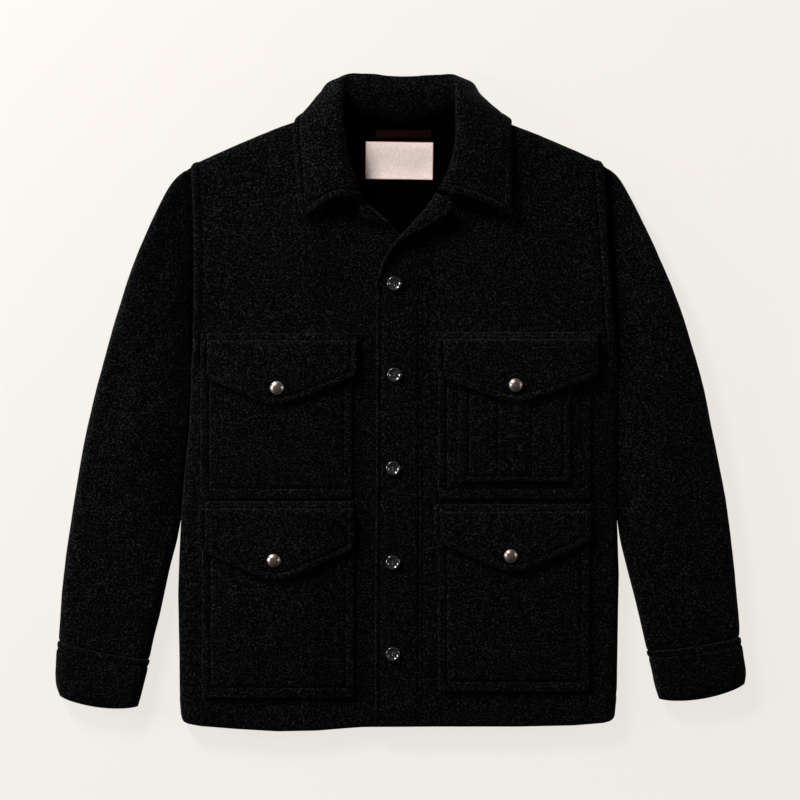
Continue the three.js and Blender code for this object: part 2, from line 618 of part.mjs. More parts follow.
const POCKET = {
  chest_right: { side: "right", left: -250, right: -60.5, top: 71, bottom: -122, bulge: 2.2 },
  chest_left: { side: "left", left: 47.5, right: 237.5, top: 73, bottom: -122, bulge: 2.2 },
  lower_right: { side: "right", left: -248, right: -58, top: -140, bottom: -371, bulge: 3 },
  lower_left: { side: "left", left: 47.5, right: 236, top: -143, bottom: -363.5, bulge: 3 },
};
const POCKET_COLUMNS = 6;
const POCKET_ROWS = 6;

const frontZ = (side, x, y) => heightOn(FRONT_SIDES[side].faces, x, y);

const BULGE_ROUND = 0.7; // below 1 the bulge is fuller towards the pocket's sides
const BULGE_DROP = 0.35; // share of the pocket's height by which the bulge's wave starts below it
const BULGE_WAVE = 1.7;
const BULGE_START = 0.2; // share of the height over which the bulge sets in

// How far a pocket's cloth stands off the front: nothing at its sewn edges, most at its middle
function pocketBulge({ left, right, top, bottom, bulge }, x, y) {
  const across = clamp01((x - left) / (right - left));
  const up = clamp01((y - bottom) / (top - bottom));
  const sideways = Math.sin(Math.PI * across) ** BULGE_ROUND;
  const upwards = Math.sin((Math.PI * (up + BULGE_DROP)) / BULGE_WAVE) * smooth(up / BULGE_START);
  return bulge * sideways * upwards;
}

const pocketBase = (pocket, x, y) => frontZ(pocket.side, x, y) + LAY_GAP + pocketBulge(pocket, x, y);

function rectanglePlan({ left, right, top, bottom }, columns, rows) {
  return Array.from({ length: columns + 1 }, (_, i) => Array.from({ length: rows + 1 }, (__, j) => [
    mix(left, right, i / columns), mix(bottom, top, j / rows),
  ]));
}

for (const [name, pocket] of Object.entries(POCKET)) {
  const plan = rectanglePlan(pocket, POCKET_COLUMNS, POCKET_ROWS);
  addPiece(`pocket_${name}`, patchGeometry(plan, (x, y) => pocketBase(pocket, x, y), CLOTH));
}

// A shallow divided pocket on the left chest pocket
const UTILITY = { left: 73, right: 212, top: 42, bottom: -100.5 };
const UTILITY_CLOTH = 2.4;
const onPocket = (pocket, x, y) => pocketBase(pocket, x, y) + CLOTH + LAY_GAP;
addPiece("pocket_utility", patchGeometry(
  rectanglePlan(UTILITY, 4, 4), (x, y) => onPocket(POCKET.chest_left, x, y), UTILITY_CLOTH,
));

// Flaps: a straight sewn top, square corners at corner height and a rounded point at [tipX, tip]. rest is
// the gap that a flap keeps to the pocket that it covers, or to what is sewn on the pocket.
const FLAP = {
  chest_right: { left: -249.5, right: -54.5, top: 85, corner: 33, tipX: -154, tip: -3.5, rest: 0.3 },
  chest_left: { left: 45.5, right: 246.5, top: 86.5, corner: 32.5, tipX: 145.5, tip: 0.5, rest: 3.2 },
  lower_right: { left: -252, right: -59, top: -125, corner: -184, tipX: -155.5, tip: -222, rest: 0.3 },
  lower_left: { left: 42.5, right: 238, top: -129, corner: -172.5, tipX: 141.5, tip: -212, rest: 0.3 },
};
const FLAP_ROWS = 3;
const TIP_ROUND = 14;
const CORNER_ROUND = 7;
const TIP_LIFT = 1.6;
const FLAP_ATTACH = 13; // how far below its sewn top a flap takes to ride up over the pocket
const LIFT_ABOVE_CORNER = 20;
const DROP_REACH = 14; // how far past the pocket's side a flap is fully dropped
const DROP_RUN = 10;
const DROP_REST = 0.35; // share of the pocket's height that a dropped flap keeps

// Height of a flap's lower edge at x
function flapLowerY({ left, right, corner, tipX, tip }, x) {
  const half = x < tipX ? tipX - left : right - tipX;
  const reach = Math.hypot(x - tipX, TIP_ROUND) - TIP_ROUND;
  const full = Math.hypot(half, TIP_ROUND) - TIP_ROUND;
  const fromSide = Math.min(x - left, right - x);
  const inCorner = Math.max(0, CORNER_ROUND - fromSide);
  const cut = CORNER_ROUND - Math.sqrt(CORNER_ROUND ** 2 - inCorner ** 2);
  return mix(tip, corner, reach / full) + cut;
}

// Where a flap has columns of points: 0 is its one side, 0.5 its point and 1 its other side.
const FLAP_SHARES = [0, 0.012, 0.06, 0.2, 0.34, 0.44, 0.5, 0.56, 0.66, 0.8, 0.94, 0.988, 1];

function flapPlan(flap) {
  return FLAP_SHARES.map((share) => {
    const x = share < 0.5 ? mix(flap.left, flap.tipX, share * 2) : mix(flap.tipX, flap.right, share * 2 - 1);
    const low = flapLowerY(flap, x);
    const attach = flap.top - FLAP_ATTACH;
    const hung = Array.from({ length: FLAP_ROWS + 1 }, (_, j) => mix(low, attach, j / FLAP_ROWS));
    return [...hung, flap.top].map((y) => [x, y]);
  });
}

// Under face of the flap over a named pocket: on the front at its top, then over the pocket, lifting a
// little to its point. Past the pocket's sides it drops part of the way to the front.
function flapBase(name, x, y) {
  const [flap, pocket] = [FLAP[name], POCKET[name]];
  const onFront = frontZ(pocket.side, x, y) + LAY_GAP;
  const over = onPocket(pocket, x, Math.min(y, pocket.top)) + flap.rest;
  const liftFrom = flap.corner + LIFT_ABOVE_CORNER;
  const lift = TIP_LIFT * smooth((liftFrom - y) / (liftFrom - flap.tip));
  const fromLeft = smooth((x - pocket.left + DROP_REACH) / DROP_RUN);
  const fromRight = smooth((pocket.right + DROP_REACH - x) / DROP_RUN);
  const inside = Math.max(DROP_REST, fromLeft * fromRight);
  return mix(onFront, over, smooth((flap.top - y) / FLAP_ATTACH) * inside) + lift;
}

for (const [name, flap] of Object.entries(FLAP)) {
  addPiece(`flap_${name}`, patchGeometry(flapPlan(flap), (x, y) => flapBase(name, x, y), CLOTH));
}

for (const side of ["left", "right"]) {
  addPiece(`lapel_${side}`, sheetGeometry(LAPEL[side].map(lapelSection), lapelThickness, 1));
}

// Buttons: a raised rim round a dished middle. Profile rows are [radius, height].
const BUTTON_SIDES = 16;
const BUTTON_PROFILE = [
  [0, 0], [6.2, 0], [8.6, 1.2], [BUTTON_R, 2.2], [7.9, 3.2], [6.3, 2.9], [4.9, 1.9], [0, 1.9],
];
const BUTTON_GAP = 0.7; // the thread's shank between button and cloth
const BUTTON_PLACES = [[-7.5, 147.5], [-7.5, 33.5], [-9, -83.5], [-9.5, -201.5], [-9.5, -316]];
const BUTTON = { color: 0x0b0b0c, roughness: 0.25 };

// A turned piece standing on height z at [x, y]
function turnedGeometry(profile, sides, [x, y], z) {
  const geometry = new THREE.LatheGeometry(profile.map((p) => new THREE.Vector2(...p)), sides);
  geometry.rotateX(Math.PI / 2);
  geometry.translate(x, y, z);
  return geometry;
}

BUTTON_PLACES.forEach(([x, y], i) => {
  const z = frontZ("left", x, y) + BUTTON_GAP;
  addPiece(`button_${i + 1}`, turnedGeometry(BUTTON_PROFILE, BUTTON_SIDES, [x, y], z), BUTTON);
});

// Snap caps: low domes on the flaps' points
const SNAP_SIDES = 16;
const SNAP_PROFILE = [[0, 0], [7.4, 0], [SNAP_R, 0.7], [7.6, 1.8], [5, 3.2], [2.4, 3.8], [0, 4]];
const SNAP_PLACES = {
  chest_right: [-154, 17],
  chest_left: [143.5, 20.5],
  lower_right: [-158, -198.5],
  lower_left: [137.5, -192.5],
};
const SNAP = { color: 0x4a4440, roughness: 0.35, metalness: 0.9 };
const SNAP_GAP = 0.3;

for (const [name, [x, y]] of Object.entries(SNAP_PLACES)) {
  const high = [[-1, 0], [1, 0], [0, -1], [0, 1], [0, 0]]
    .map(([across, up]) => flapBase(name, x + across * SNAP_R, y + up * SNAP_R));
  const z = Math.max(...high) + CLOTH + SNAP_GAP;
  addPiece(`snap_${name}`, turnedGeometry(SNAP_PROFILE, SNAP_SIDES, [x, y], z), SNAP);
}

// A bare label and a hanger loop on the inside of the back, below the neck seam
const LABEL = { left: -44.5, right: 40.5, top: 325.5, bottom: 278.5 };
const LOOP = { left: -31, right: 39, top: 340, bottom: 330.5 };
const LOOP_ARCH = 2;
const insideBackZ = (x, y) => heightOn(BACK_SIDES.backs, x, y);

function loopBase(x, y) {
  const arch = LOOP_ARCH * Math.sin((Math.PI * (x - LOOP.left)) / (LOOP.right - LOOP.left));
  return insideBackZ(x, y) + LAY_GAP + arch;
}

addPiece("label", patchGeometry(
  rectanglePlan(LABEL, 1, 5), (x, y) => insideBackZ(x, y) + LAY_GAP, LABEL_THICK,
), { color: 0xe9e0cb });
addPiece("hanger_loop", patchGeometry(rectanglePlan(LOOP, 6, 1), loopBase, TAPE_THICK), { color: 0x4a1f24 });

export default jacket;
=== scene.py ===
# A wool mackinaw jacket laid flat on its back, front up, buttoned but for the open neck.
# Shapes are worked out in millimetres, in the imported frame, and handed to Blender in metres.
import math
import bpy
import numpy as np
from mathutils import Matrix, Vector


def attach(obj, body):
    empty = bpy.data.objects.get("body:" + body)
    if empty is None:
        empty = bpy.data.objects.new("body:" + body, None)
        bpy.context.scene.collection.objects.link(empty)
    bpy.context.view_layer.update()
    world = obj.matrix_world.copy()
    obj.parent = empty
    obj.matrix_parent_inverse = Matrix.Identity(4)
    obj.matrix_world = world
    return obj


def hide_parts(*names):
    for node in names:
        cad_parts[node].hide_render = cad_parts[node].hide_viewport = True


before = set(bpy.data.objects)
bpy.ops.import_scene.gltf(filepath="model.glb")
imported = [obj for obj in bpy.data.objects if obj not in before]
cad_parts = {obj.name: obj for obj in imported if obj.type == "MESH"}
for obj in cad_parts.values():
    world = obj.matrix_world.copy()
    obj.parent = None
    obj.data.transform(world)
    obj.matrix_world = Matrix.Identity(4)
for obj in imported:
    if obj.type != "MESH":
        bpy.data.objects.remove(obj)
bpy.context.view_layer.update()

# Driving sizes, as in the solids
CLOTH = 3.0
SEAM_GAP = 0.3
LAY_GAP = 0.5
SEAM_Z = 8.5
FRONT_Z = 17.0
EDGE_R = 14.0
NECK_LIFT = 3.6
CUFF_CLOTH = 3.6
LABEL_THICK = 0.8
TAPE_THICK = 1.2
SNAP_R = 8.3
HALF_ROUND = 1.5  # radius of a raw or folded edge
EDGE_THIN = 0.12  # share of its thickness that a wall keeps at a rounded edge
MM = 0.001


def clamp01(t):
    return np.clip(t, 0.0, 1.0)


def smooth(t):
    t = clamp01(t)
    return t * t * (3 - 2 * t)


def mix(a, b, t):
    return a + (b - a) * t


def arc(share):
    """0 at both ends of a run and 1 in its middle."""
    return 4 * share * (1 - share)


def look_up(rows, key):
    keys, values = zip(*rows)
    return np.interp(key, keys, values)


# Outline of the body laid flat, [y, x] up one edge
SIDE = {
    "right": [(-397, -274.5), (-367, -277), (-310, -277.5), (-243, -279), (-192, -277.5),
              (-139.5, -275), (-100, -272), (-30, -265), (44.5, -262)],
    "left": [(-397, 268), (-360, 271.5), (-292, 272.5), (-217, 274), (-169.5, 272.5), (-110, 270.5),
             (-43, 271), (44.5, 272)],
}
ARMPIT_Y = 44.5
SHOULDER_TIP = {"right": (-263, 295.5), "left": (254.5, 298)}
NECK_POINT = {"right": (-77, 369), "left": (77, 368)}
ARMHOLE_BOW = {"right": 3.5, "left": -0.5}
SHOULDER_BOW = 4.4
NECK_DIP = 26.0
HEM = [
    (-274.5, -397), (-272, -400.5), (-266, -403.5), (-250, -406.5), (-205, -410), (-153, -413),
    (-102, -412), (-40, -407.5), (45, -407), (150, -407), (218, -405.5), (254, -402.5), (263, -400),
    (268, -397),
]
HEM_FROM_Y = -397  # foot of the side seams
HEM_TO_Y = -375  # the grids' rows are level above this height
FRONT_FOOT_Y = -407
INNER = {
    "right": [(-407, 30), (174, 22), (202, 5.5), (222, -13), (237, -29.5), (249, -45.5), (251, -54),
              (259, -62), (277, -70.5), (312, -78), (345, -81), (369, -77)],
    "left": [(-407.5, -33), (-405, -32), (139.5, -29.7), (154, -26.1), (175, -18.9), (193, -7.8),
             (210.5, 7.5), (225, 20.3), (240, 34.6), (252, 48), (262, 64), (277, 72.5), (312, 79),
             (345.5, 81), (368, 77)],
}


def armhole_x(side, y):
    share = (y - ARMPIT_Y) / (SHOULDER_TIP[side][1] - ARMPIT_Y)
    x = mix(look_up(SIDE[side], ARMPIT_Y), SHOULDER_TIP[side][0], share)
    return x + ARMHOLE_BOW[side] * arc(share)


def outer_x(side, y):
    return look_up(SIDE[side], y) if y <= ARMPIT_Y else armhole_x(side, y)


def shoulder_line(side, steps=24):
    t = np.linspace(0, 1, steps + 1)
    (x0, y0), (x1, y1) = SHOULDER_TIP[side], NECK_POINT[side]
    return np.stack([mix(x0, x1, t), mix(y0, y1, t) + SHOULDER_BOW * arc(t)], axis=1)


def nearest_on(line, x, y):
    """Distance from points to a polyline, with the nearest point on it."""
    best = np.full(np.shape(x), np.inf)
    near_x, near_y = np.zeros_like(best), np.zeros_like(best)
    for (ax, ay), (bx, by) in zip(line[:-1], line[1:]):
        run_x, run_y = bx - ax, by - ay
        t = clamp01(((x - ax) * run_x + (y - ay) * run_y) / (run_x ** 2 + run_y ** 2))
        px, py = ax + t * run_x, ay + t * run_y
        distance = np.hypot(x - px, y - py)
        closer = distance < best
        best = np.where(closer, distance, best)
        near_x, near_y = np.where(closer, px, near_x), np.where(closer, py, near_y)
    return best, near_x, near_y


def seam_edges():
    """The lines that the cloth turns down to, each with the way that its seam faces."""
    edges = []
    for side, away in (("right", -1), ("left", 1)):
        edges.append(([(x, y) for y, x in SIDE[side]], (away, 0)))
        run_x = SHOULDER_TIP[side][0] - NECK_POINT[side][0]
        run_y = NECK_POINT[side][1] - SHOULDER_TIP[side][1]
        length = math.hypot(run_x, run_y)
        edges.append((shoulder_line(side), (away * run_y / length, abs(run_x) / length)))
    return edges


SEAM_EDGES = seam_edges()
ON_SEAM = 0.4  # nearer to a seam than this, a point turns the way that the seam faces


def turn_at(x, y):
    """How the cloth turns towards the nearest side or shoulder seam."""
    best = np.full(np.shape(x), np.inf)
    out_x, out_y = np.zeros_like(best), np.zeros_like(best)
    for line, facing in SEAM_EDGES:
        distance, near_x, near_y = nearest_on(line, x, y)
        closer = distance < best
        away = distance > ON_SEAM
        reach = np.maximum(distance, ON_SEAM)
        out_x = np.where(closer, np.where(away, (near_x - x) / reach, facing[0]), out_x)
        out_y = np.where(closer, np.where(away, (near_y - y) / reach, facing[1]), out_y)
        best = np.where(closer, distance, best)
    level = clamp01(1 - best / EDGE_R)
    return level, np.sqrt(1 - level ** 2), out_x, out_y


# Soft folds in the cloth, each a trough (depth below 0) or a ridge along a line. The first rows are the
# solids' own; the others are shallower creases that only show in the light.
FOLDS = [
    # x, y, along x, along y, width, depth
    (-215, 60, 70, 60, 26, -1.3),
    (-120, 190, 25, 80, 40, 1.4),
    (-262, -150, 10, 110, 18, -1.2),
    (232, 100, -50, 70, 24, -1.5),
    (150, 190, -20, 85, 42, 1.6),
    (258, -90, -6, 120, 18, -1.4),
    (20, -250, 8, 130, 20, -0.9),
]
CREASES = [
    (-228, 128, 26, 62, 15, -0.9),
    (-205, 175, 30, 55, 18, 0.7),
    (-176, 118, 60, 22, 13, -0.5),
    (-246, 232, 12, 48, 11, -0.7),
    (-96, 118, 22, 40, 17, -0.6),
    (-58, 188, 26, 52, 14, -0.7),
    (-41, 96, 4, 44, 10, 0.5),
    (-160, 262, 70, 14, 18, -0.6),
    (-112, 300, 34, 26, 16, 0.6),
    (226, 148, -28, 60, 16, -0.9),
    (206, 196, -22, 52, 18, 0.8),
    (182, 122, -60, 18, 12, -0.5),
    (245, 236, -12, 50, 11, -0.8),
    (92, 122, -18, 42, 17, -0.6),
    (62, 190, -22, 50, 15, 0.6),
    (160, 268, -66, 12, 18, -0.5),
    (108, 296, -30, 26, 15, -0.6),
    (-264, -40, 8, 66, 12, -0.8),
    (-266, -262, 4, 60, 12, 0.7),
    (-262, -352, 6, 36, 13, -0.7),
    (262, -176, -4, 58, 12, -0.8),
    (262, -300, -4, 62, 12, 0.7),
    (-44, -60, 3, 84, 9, -0.5),
    (-42, -262, 5, 74, 10, 0.5),
    (-32, -372, 34, 8, 14, -0.6),
    (34, -60, 2, 92, 11, -0.5),
    (32, -352, 6, 44, 12, 0.6),
    (-150, -392, 72, 3, 11, -0.7),
    (150, -388, 70, -3, 11, -0.7),
]


def fold_height(rows, x, y):
    total = np.zeros(np.shape(x))
    for fx, fy, ax, ay, width, depth in rows:
        length = math.hypot(ax, ay)
        along = ((x - fx) * ax + (y - fy) * ay) / length
        across = ((x - fx) * ay - (y - fy) * ax) / length
        bend = FOLD_BEND * width * np.sin(along / (FOLD_SWAY * length))
        total += depth * np.exp(-((along / length) ** 2) - ((across - bend) / width) ** 2)
    return total


# The right front drops under the left one over LAP_FROM_X to LAP_TO_X
LAP_FROM_X = -118
LAP_TO_X = -70
LAP_DROP = CLOTH + LAY_GAP
ROLL_LINE = [(x, y) for y, x in INNER["left"] if 150 < y < 260]
ROLL_SWELL = 2.5  # rise of the left front along its roll
ROLL_REACH = 55
NECK_LIFT_FROM_Y = 285
NECK_LIFT_RUN = 43
FOLD_BEND = 0.12  # how far a fold's line sways, as a share of its width
FOLD_SWAY = 0.45  # length of the sway, as a share of the fold's length


def front_top(side, x, y):
    full = FRONT_Z + fold_height(FOLDS, x, y)
    if side == "right":
        return full - LAP_DROP * smooth((x - LAP_FROM_X) / (LAP_TO_X - LAP_FROM_X))
    away = nearest_on(ROLL_LINE, x, y)[0]
    return full + ROLL_SWELL * (1 - smooth(away / ROLL_REACH))


def front_face(side, x, y):
    level, upright, out_x, out_y = turn_at(x, y)
    rise = front_top(side, x, y) - SEAM_Z
    normal = np.stack([out_x * level / EDGE_R, out_y * level / EDGE_R, upright / rise], axis=-1)
    normal /= np.linalg.norm(normal, axis=-1, keepdims=True)
    z = SEAM_Z + SEAM_GAP / 2 + (rise - SEAM_GAP / 2) * upright
    return np.stack([x, y, z], axis=-1), normal


def back_face(x, y):
    level, upright, out_x, out_y = turn_at(x, y)
    drop = SEAM_Z - NECK_LIFT * smooth((y - NECK_LIFT_FROM_Y) / NECK_LIFT_RUN)
    normal = np.stack([out_x * level / EDGE_R, out_y * level / EDGE_R, -upright / drop], axis=-1)
    normal /= np.linalg.norm(normal, axis=-1, keepdims=True)
    z = SEAM_Z - SEAM_GAP / 2 - (drop - SEAM_GAP / 2) * upright
    return np.stack([x, y, z], axis=-1), normal


# Meshes

def make_object(name, points, faces, material):
    mesh = bpy.data.meshes.new(name)
    mesh.from_pydata((np.asarray(points) * MM).tolist(), [], faces)
    mesh.validate()
    mesh.polygons.foreach_set("use_smooth", np.full(len(mesh.polygons), True))
    mesh.materials.append(material)
    obj = bpy.data.objects.new(name, mesh)
    bpy.context.scene.collection.objects.link(obj)
    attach(obj, "root")
    return obj


def wall_quads(rows, columns, closed=False):
    """Faces of a wall between two grids, the faces' points first and the backs' after them."""
    half = rows * columns
    last = rows if closed else rows - 1
    i, j = np.meshgrid(np.arange(last), np.arange(columns - 1), indexing="ij")
    a, b = i * columns + j, ((i + 1) % rows) * columns + j
    front = np.stack([a, b, b + 1, a + 1], axis=-1).reshape(-1, 4)
    back = front[:, ::-1] + half
    ends = []
    i = np.arange(last)
    a, b = i * columns, ((i + 1) % rows) * columns
    ends.append(np.stack([a, a + half, b + half, b], axis=-1))
    a, b = a + columns - 1, b + columns - 1
    ends.append(np.stack([a, b, b + half, a + half], axis=-1))
    if not closed:
        j = np.arange(columns - 1)
        ends.append(np.stack([j, j + 1, j + 1 + half, j + half], axis=-1))
        a = (rows - 1) * columns + j
        ends.append(np.stack([a, a + half, a + 1 + half, a + 1], axis=-1))
    return np.concatenate([front, back, *ends])


def signed_volume(points, quads):
    a, b, c, d = (points[quads[:, k]] for k in range(4))
    return (np.einsum("ij,ij->i", a, np.cross(b, c)) + np.einsum("ij,ij->i", a, np.cross(c, d))).sum()


NO_STITCH = 99.0  # distance given to points with no stitching near


def wall(name, faces, backs, material, closed=False, lines=None, lined=False, painted_shade=None):
    """A closed wall between two grids.

    lines are the distances of its faces to their stitching, lined makes its backs smooth and black as a
    lining, and the last argument is how far its faces take the same black, as painted shade.
    """
    rows, columns = faces.shape[:2]
    points = np.concatenate([faces.reshape(-1, 3), backs.reshape(-1, 3)])
    quads = wall_quads(rows, columns, closed)
    if signed_volume(points, quads) < 0:
        quads = quads[:, ::-1]
    obj = make_object(name, points, quads.tolist(), material)
    half = rows * columns
    stitch = np.full(2 * half, NO_STITCH, np.float32)
    if lines is not None:
        stitch[:half] = np.asarray(lines, np.float32).reshape(-1)
    inside = np.zeros(2 * half, np.float32)
    inside[half:] = lined
    # Painted shade: faces that take the lining's black in part
    if painted_shade is not None:
        inside[:half] = np.asarray(painted_shade, np.float32).reshape(-1)
    for key, values in (("stitch", stitch), ("inside", inside)):
        obj.data.attributes.new(key, "FLOAT", "POINT").data.foreach_set("value", values)
    return obj


def edge_distance(grid, border):
    """How far each point lies from one border of its grid, along the grid."""
    axis = 0 if border.endswith("row") else 1
    steps = np.linalg.norm(np.diff(grid, axis=axis), axis=-1)
    run = np.concatenate([np.zeros_like(np.take(steps, [0], axis)), np.cumsum(steps, axis)], axis)
    return run if border.startswith("first") else np.take(run, [-1], axis) - run


def round_edges(faces, backs, borders, radius=HALF_ROUND):
    """Rounds a wall's free edges: faces and backs draw together within the radius of each border."""
    distance = np.min([edge_distance(faces, border) for border in borders], axis=0)
    share = clamp01(distance / radius)
    height = np.sqrt(1 - (1 - share) ** 2)
    keep = mix(EDGE_THIN, 1, height)[..., None]
    middle = (faces + backs) / 2
    return middle + (faces - middle) * keep, middle + (backs - middle) * keep


# Grid lines in from an edge, and on both sides of a stitch line
EDGE_STEPS = (0, 0.35, 0.9, 1.7, 2.8)
STITCH_STEPS = (-3.0, -1.9, -1.0, 0, 1.0, 1.9, 3.0)


def edged(start, end, step, fine=EDGE_STEPS, stitches=()):
    """Parameters from start to end, close together at both ends and around each stitch line."""
    low, high = min(start, end), max(start, end)
    kept = [low + d for d in fine] + [high - d for d in fine]
    for at in stitches:
        kept += [at + d for d in STITCH_STEPS if low + fine[-1] < at + d < high - fine[-1]]
    kept = np.unique(np.round(kept, 4))
    out = [kept[:1]]
    for a, b in zip(kept[:-1], kept[1:]):
        count = max(1, int(round((b - a) / step)))
        out.append(np.linspace(a, b, count + 1)[1:])
    out = np.concatenate(out)
    return out if end > start else out[::-1]


def catmull(rows, count_at):
    """Smooth rows of points between given rows; count_at are the row parameters wanted."""
    rows = np.asarray(rows, float)
    last = len(rows) - 1
    padded = np.concatenate([[2 * rows[0] - rows[1]], rows, [2 * rows[-1] - rows[-2]]])
    out = []
    for t in count_at:
        i = min(int(t), last - 1)
        f = t - i
        p0, p1, p2, p3 = padded[i], padded[i + 1], padded[i + 2], padded[i + 3]
        out.append(0.5 * (2 * p1 + (p2 - p0) * f + (2 * p0 - 5 * p1 + 4 * p2 - p3) * f ** 2
                          + (3 * p1 - p0 - 3 * p2 + p3) * f ** 3))
    return np.array(out)


def centripetal(points, samples=36):
    """Dense points on a centripetal Catmull-Rom curve."""
    points = np.asarray(points, float)
    count = len(points)
    out = []
    for i in range(count - 1):
        p1, p2 = points[i], points[i + 1]
        p0 = points[i - 1] if i > 0 else 2 * points[0] - points[1]
        p3 = points[i + 2] if i + 2 < count else 2 * points[-1] - points[-2]
        d0, d1, d2 = (max(np.linalg.norm(b - a) ** 0.5, 1e-4) for a, b in ((p0, p1), (p1, p2), (p2, p3)))
        t1 = ((p1 - p0) / d0 - (p2 - p0) / (d0 + d1) + (p2 - p1) / d1) * d1
        t2 = ((p2 - p1) / d1 - (p3 - p1) / (d1 + d2) + (p3 - p2) / d2) * d1
        f = np.linspace(0, 1, samples, endpoint=False)[:, None]
        bend = (-3 * p1 + 3 * p2 - 2 * t1 - t2) * f ** 2 + (2 * p1 - 2 * p2 + t1 + t2) * f ** 3
        out.append(p1 + t1 * f + bend)
    return np.concatenate([*out, points[-1:]])


def spaced(dense, distances):
    """Points on a dense polyline at shares of its length."""
    steps = np.linalg.norm(np.diff(dense, axis=0), axis=1)
    run = np.concatenate([[0], np.cumsum(steps)])
    run /= run[-1]
    return np.stack([np.interp(distances, run, dense[:, k]) for k in range(3)], axis=-1)


def grid_normals(grid, passes):
    along, across = np.gradient(grid, axis=0), np.gradient(grid, axis=1)
    normals = np.cross(along, across)
    normals /= np.maximum(np.linalg.norm(normals, axis=-1, keepdims=True), 1e-9)
    for _ in range(passes):
        near = np.pad(normals, ((1, 1), (1, 1), (0, 0)), mode="edge")
        normals = 2 * normals + near[2:, 1:-1] + near[:-2, 1:-1] + near[1:-1, 2:] + near[1:-1, :-2]
        normals /= np.maximum(np.linalg.norm(normals, axis=-1, keepdims=True), 1e-9)
    return normals


# Soft uneven surface of thick cloth, from a few fixed waves
WAVES = [
    # wavelength, direction in degrees, phase, height
    (93, 12, 0.3, 0.16),
    (71, 74, 1.9, 0.14),
    (47, 133, 4.1, 0.10),
    (39, 41, 2.2, 0.08),
    (23, 98, 5.3, 0.06),
    (17, 165, 0.9, 0.05),
    (12.5, 57, 3.4, 0.04),
    (9.3, 118, 1.1, 0.03),
]


# Where each piece starts on these waves
SHIFT = {"back": 1.7, "sleeve": 0.8, "cuff": 2.6, "collar": 3.3, "pocket": 2.1, "utility": 5.0}


def unevenness(x, y, shift=0.0):
    total = np.zeros(np.shape(x))
    for length, degrees, phase, height in WAVES:
        a = math.radians(degrees)
        total += height * np.sin(2 * math.pi * (x * math.cos(a) + y * math.sin(a)) / length + phase + shift)
    return total


# Materials

class Shading:
    """One material: the nodes that feed its shader."""

    def __init__(self, name, values):
        self.material = bpy.data.materials.new(name)
        self.material.use_nodes = True
        self.nodes, self.links = self.material.node_tree.nodes, self.material.node_tree.links
        self.shader = self.nodes["Principled BSDF"]
        for key, value in values.items():
            self.feed(self.shader.inputs[key], value)

    def feed(self, socket, value):
        if isinstance(value, (int, float)):
            socket.default_value = value
        elif isinstance(value, tuple):
            socket.default_value = (*value, 1)
        else:
            self.links.new(value, socket)

    def add(self, kind, inputs, **settings):
        node = self.nodes.new(kind)
        for key, value in settings.items():
            setattr(node, key, value)
        for key, value in inputs.items():
            self.feed(node.inputs[key], value)
        return node

    def place(self):
        return self.nodes.new("ShaderNodeTexCoord").outputs["Object"]

    def noise(self, scale, detail=3.0, roughness=0.6, distortion=0.0):
        inputs = {"Vector": self.place(), "Scale": scale, "Detail": detail, "Roughness": roughness,
                  "Distortion": distortion}
        return self.add("ShaderNodeTexNoise", inputs).outputs["Fac"]

    def wave(self, scale, distortion=0.0, direction="X"):
        inputs = {"Vector": self.place(), "Scale": scale, "Distortion": distortion}
        return self.add("ShaderNodeTexWave", inputs, bands_direction=direction).outputs["Fac"]

    def ramp(self, value, stops):
        node = self.add("ShaderNodeValToRGB", {"Fac": value})
        elements = node.color_ramp.elements
        for element, (place, color) in ((elements[0], stops[0]), (elements[1], stops[-1])):
            element.position = place
            element.color = (*color, 1)
        for place, color in stops[1:-1]:
            elements.new(place).color = (*color, 1)
        return node.outputs["Color"]

    def math(self, operation, *values, clamp=False):
        node = self.add("ShaderNodeMath", dict(enumerate(values)), operation=operation, use_clamp=clamp)
        return node.outputs["Value"]

    def mix(self, share, a, b, blend="MIX"):
        inputs = {0: share, 6: a, 7: b}  # the colour sockets of a Mix node
        return self.add("ShaderNodeMix", inputs, data_type="RGBA", blend_type=blend).outputs[2]

    def attribute(self, name):
        return self.add("ShaderNodeAttribute", {}, attribute_name=name).outputs["Fac"]

    def finish(self, color, height=None, strength=0.0, distance=0.0):
        """Links the colour, and a bump of the given height, and returns the material."""
        self.feed(self.shader.inputs["Base Color"], color)
        if height is not None:
            bump = self.add("ShaderNodeBump", {"Height": height, "Strength": strength, "Distance": distance})
            self.feed(self.shader.inputs["Normal"], bump.outputs["Normal"])
        return self.material


def grey(value):
    return value, value, value


WHITE, BLACK = grey(1.0), grey(0.0)

# Colour ramps, each row a place on the noise's scale and a colour
WOOL_GROUND = [(0.42, BLACK), (0.50, grey(0.00022)), (0.57, grey(0.0014)),
               (0.68, (0.0092, 0.0092, 0.0094))]
WOOL_MOTTLE = [(0.3, grey(0.60)), (0.72, grey(1.50))]
WOOL_FLECKS = [(0.64, BLACK), (0.72, WHITE)]
FLECK_COLOR = (0.026, 0.026, 0.027)
# The lining's black, which also serves as painted shade at the foot of the collar stand
LINING_AND_SHADE_COLOR = grey(0.0001)
WOOL_SHEEN = 0.032
GROOVE_HALF_WIDTH = 1.3
GROOVE_DEPTH = 0.9
LABEL_CREAM = [(0.3, (0.66, 0.53, 0.48)), (0.7, (0.80, 0.67, 0.61))]
EDGE_THREAD = [(0.05, WHITE), (0.11, BLACK)]  # over tenths of the distance to the label's edge
EDGE_THREAD_COLOR = (0.42, 0.07, 0.06)
TAPE_COLORS = [(0.2, (0.0028, 0.0005, 0.0007)), (0.8, (0.0065, 0.0010, 0.0014))]
THREAD_COLORS = [(0.3, (0.0072, 0.0072, 0.0078)), (0.7, (0.0156, 0.0156, 0.0169))]
BUTTON_COLORS = [(0.35, (0.004, 0.004, 0.005)), (0.75, (0.020, 0.019, 0.020))]
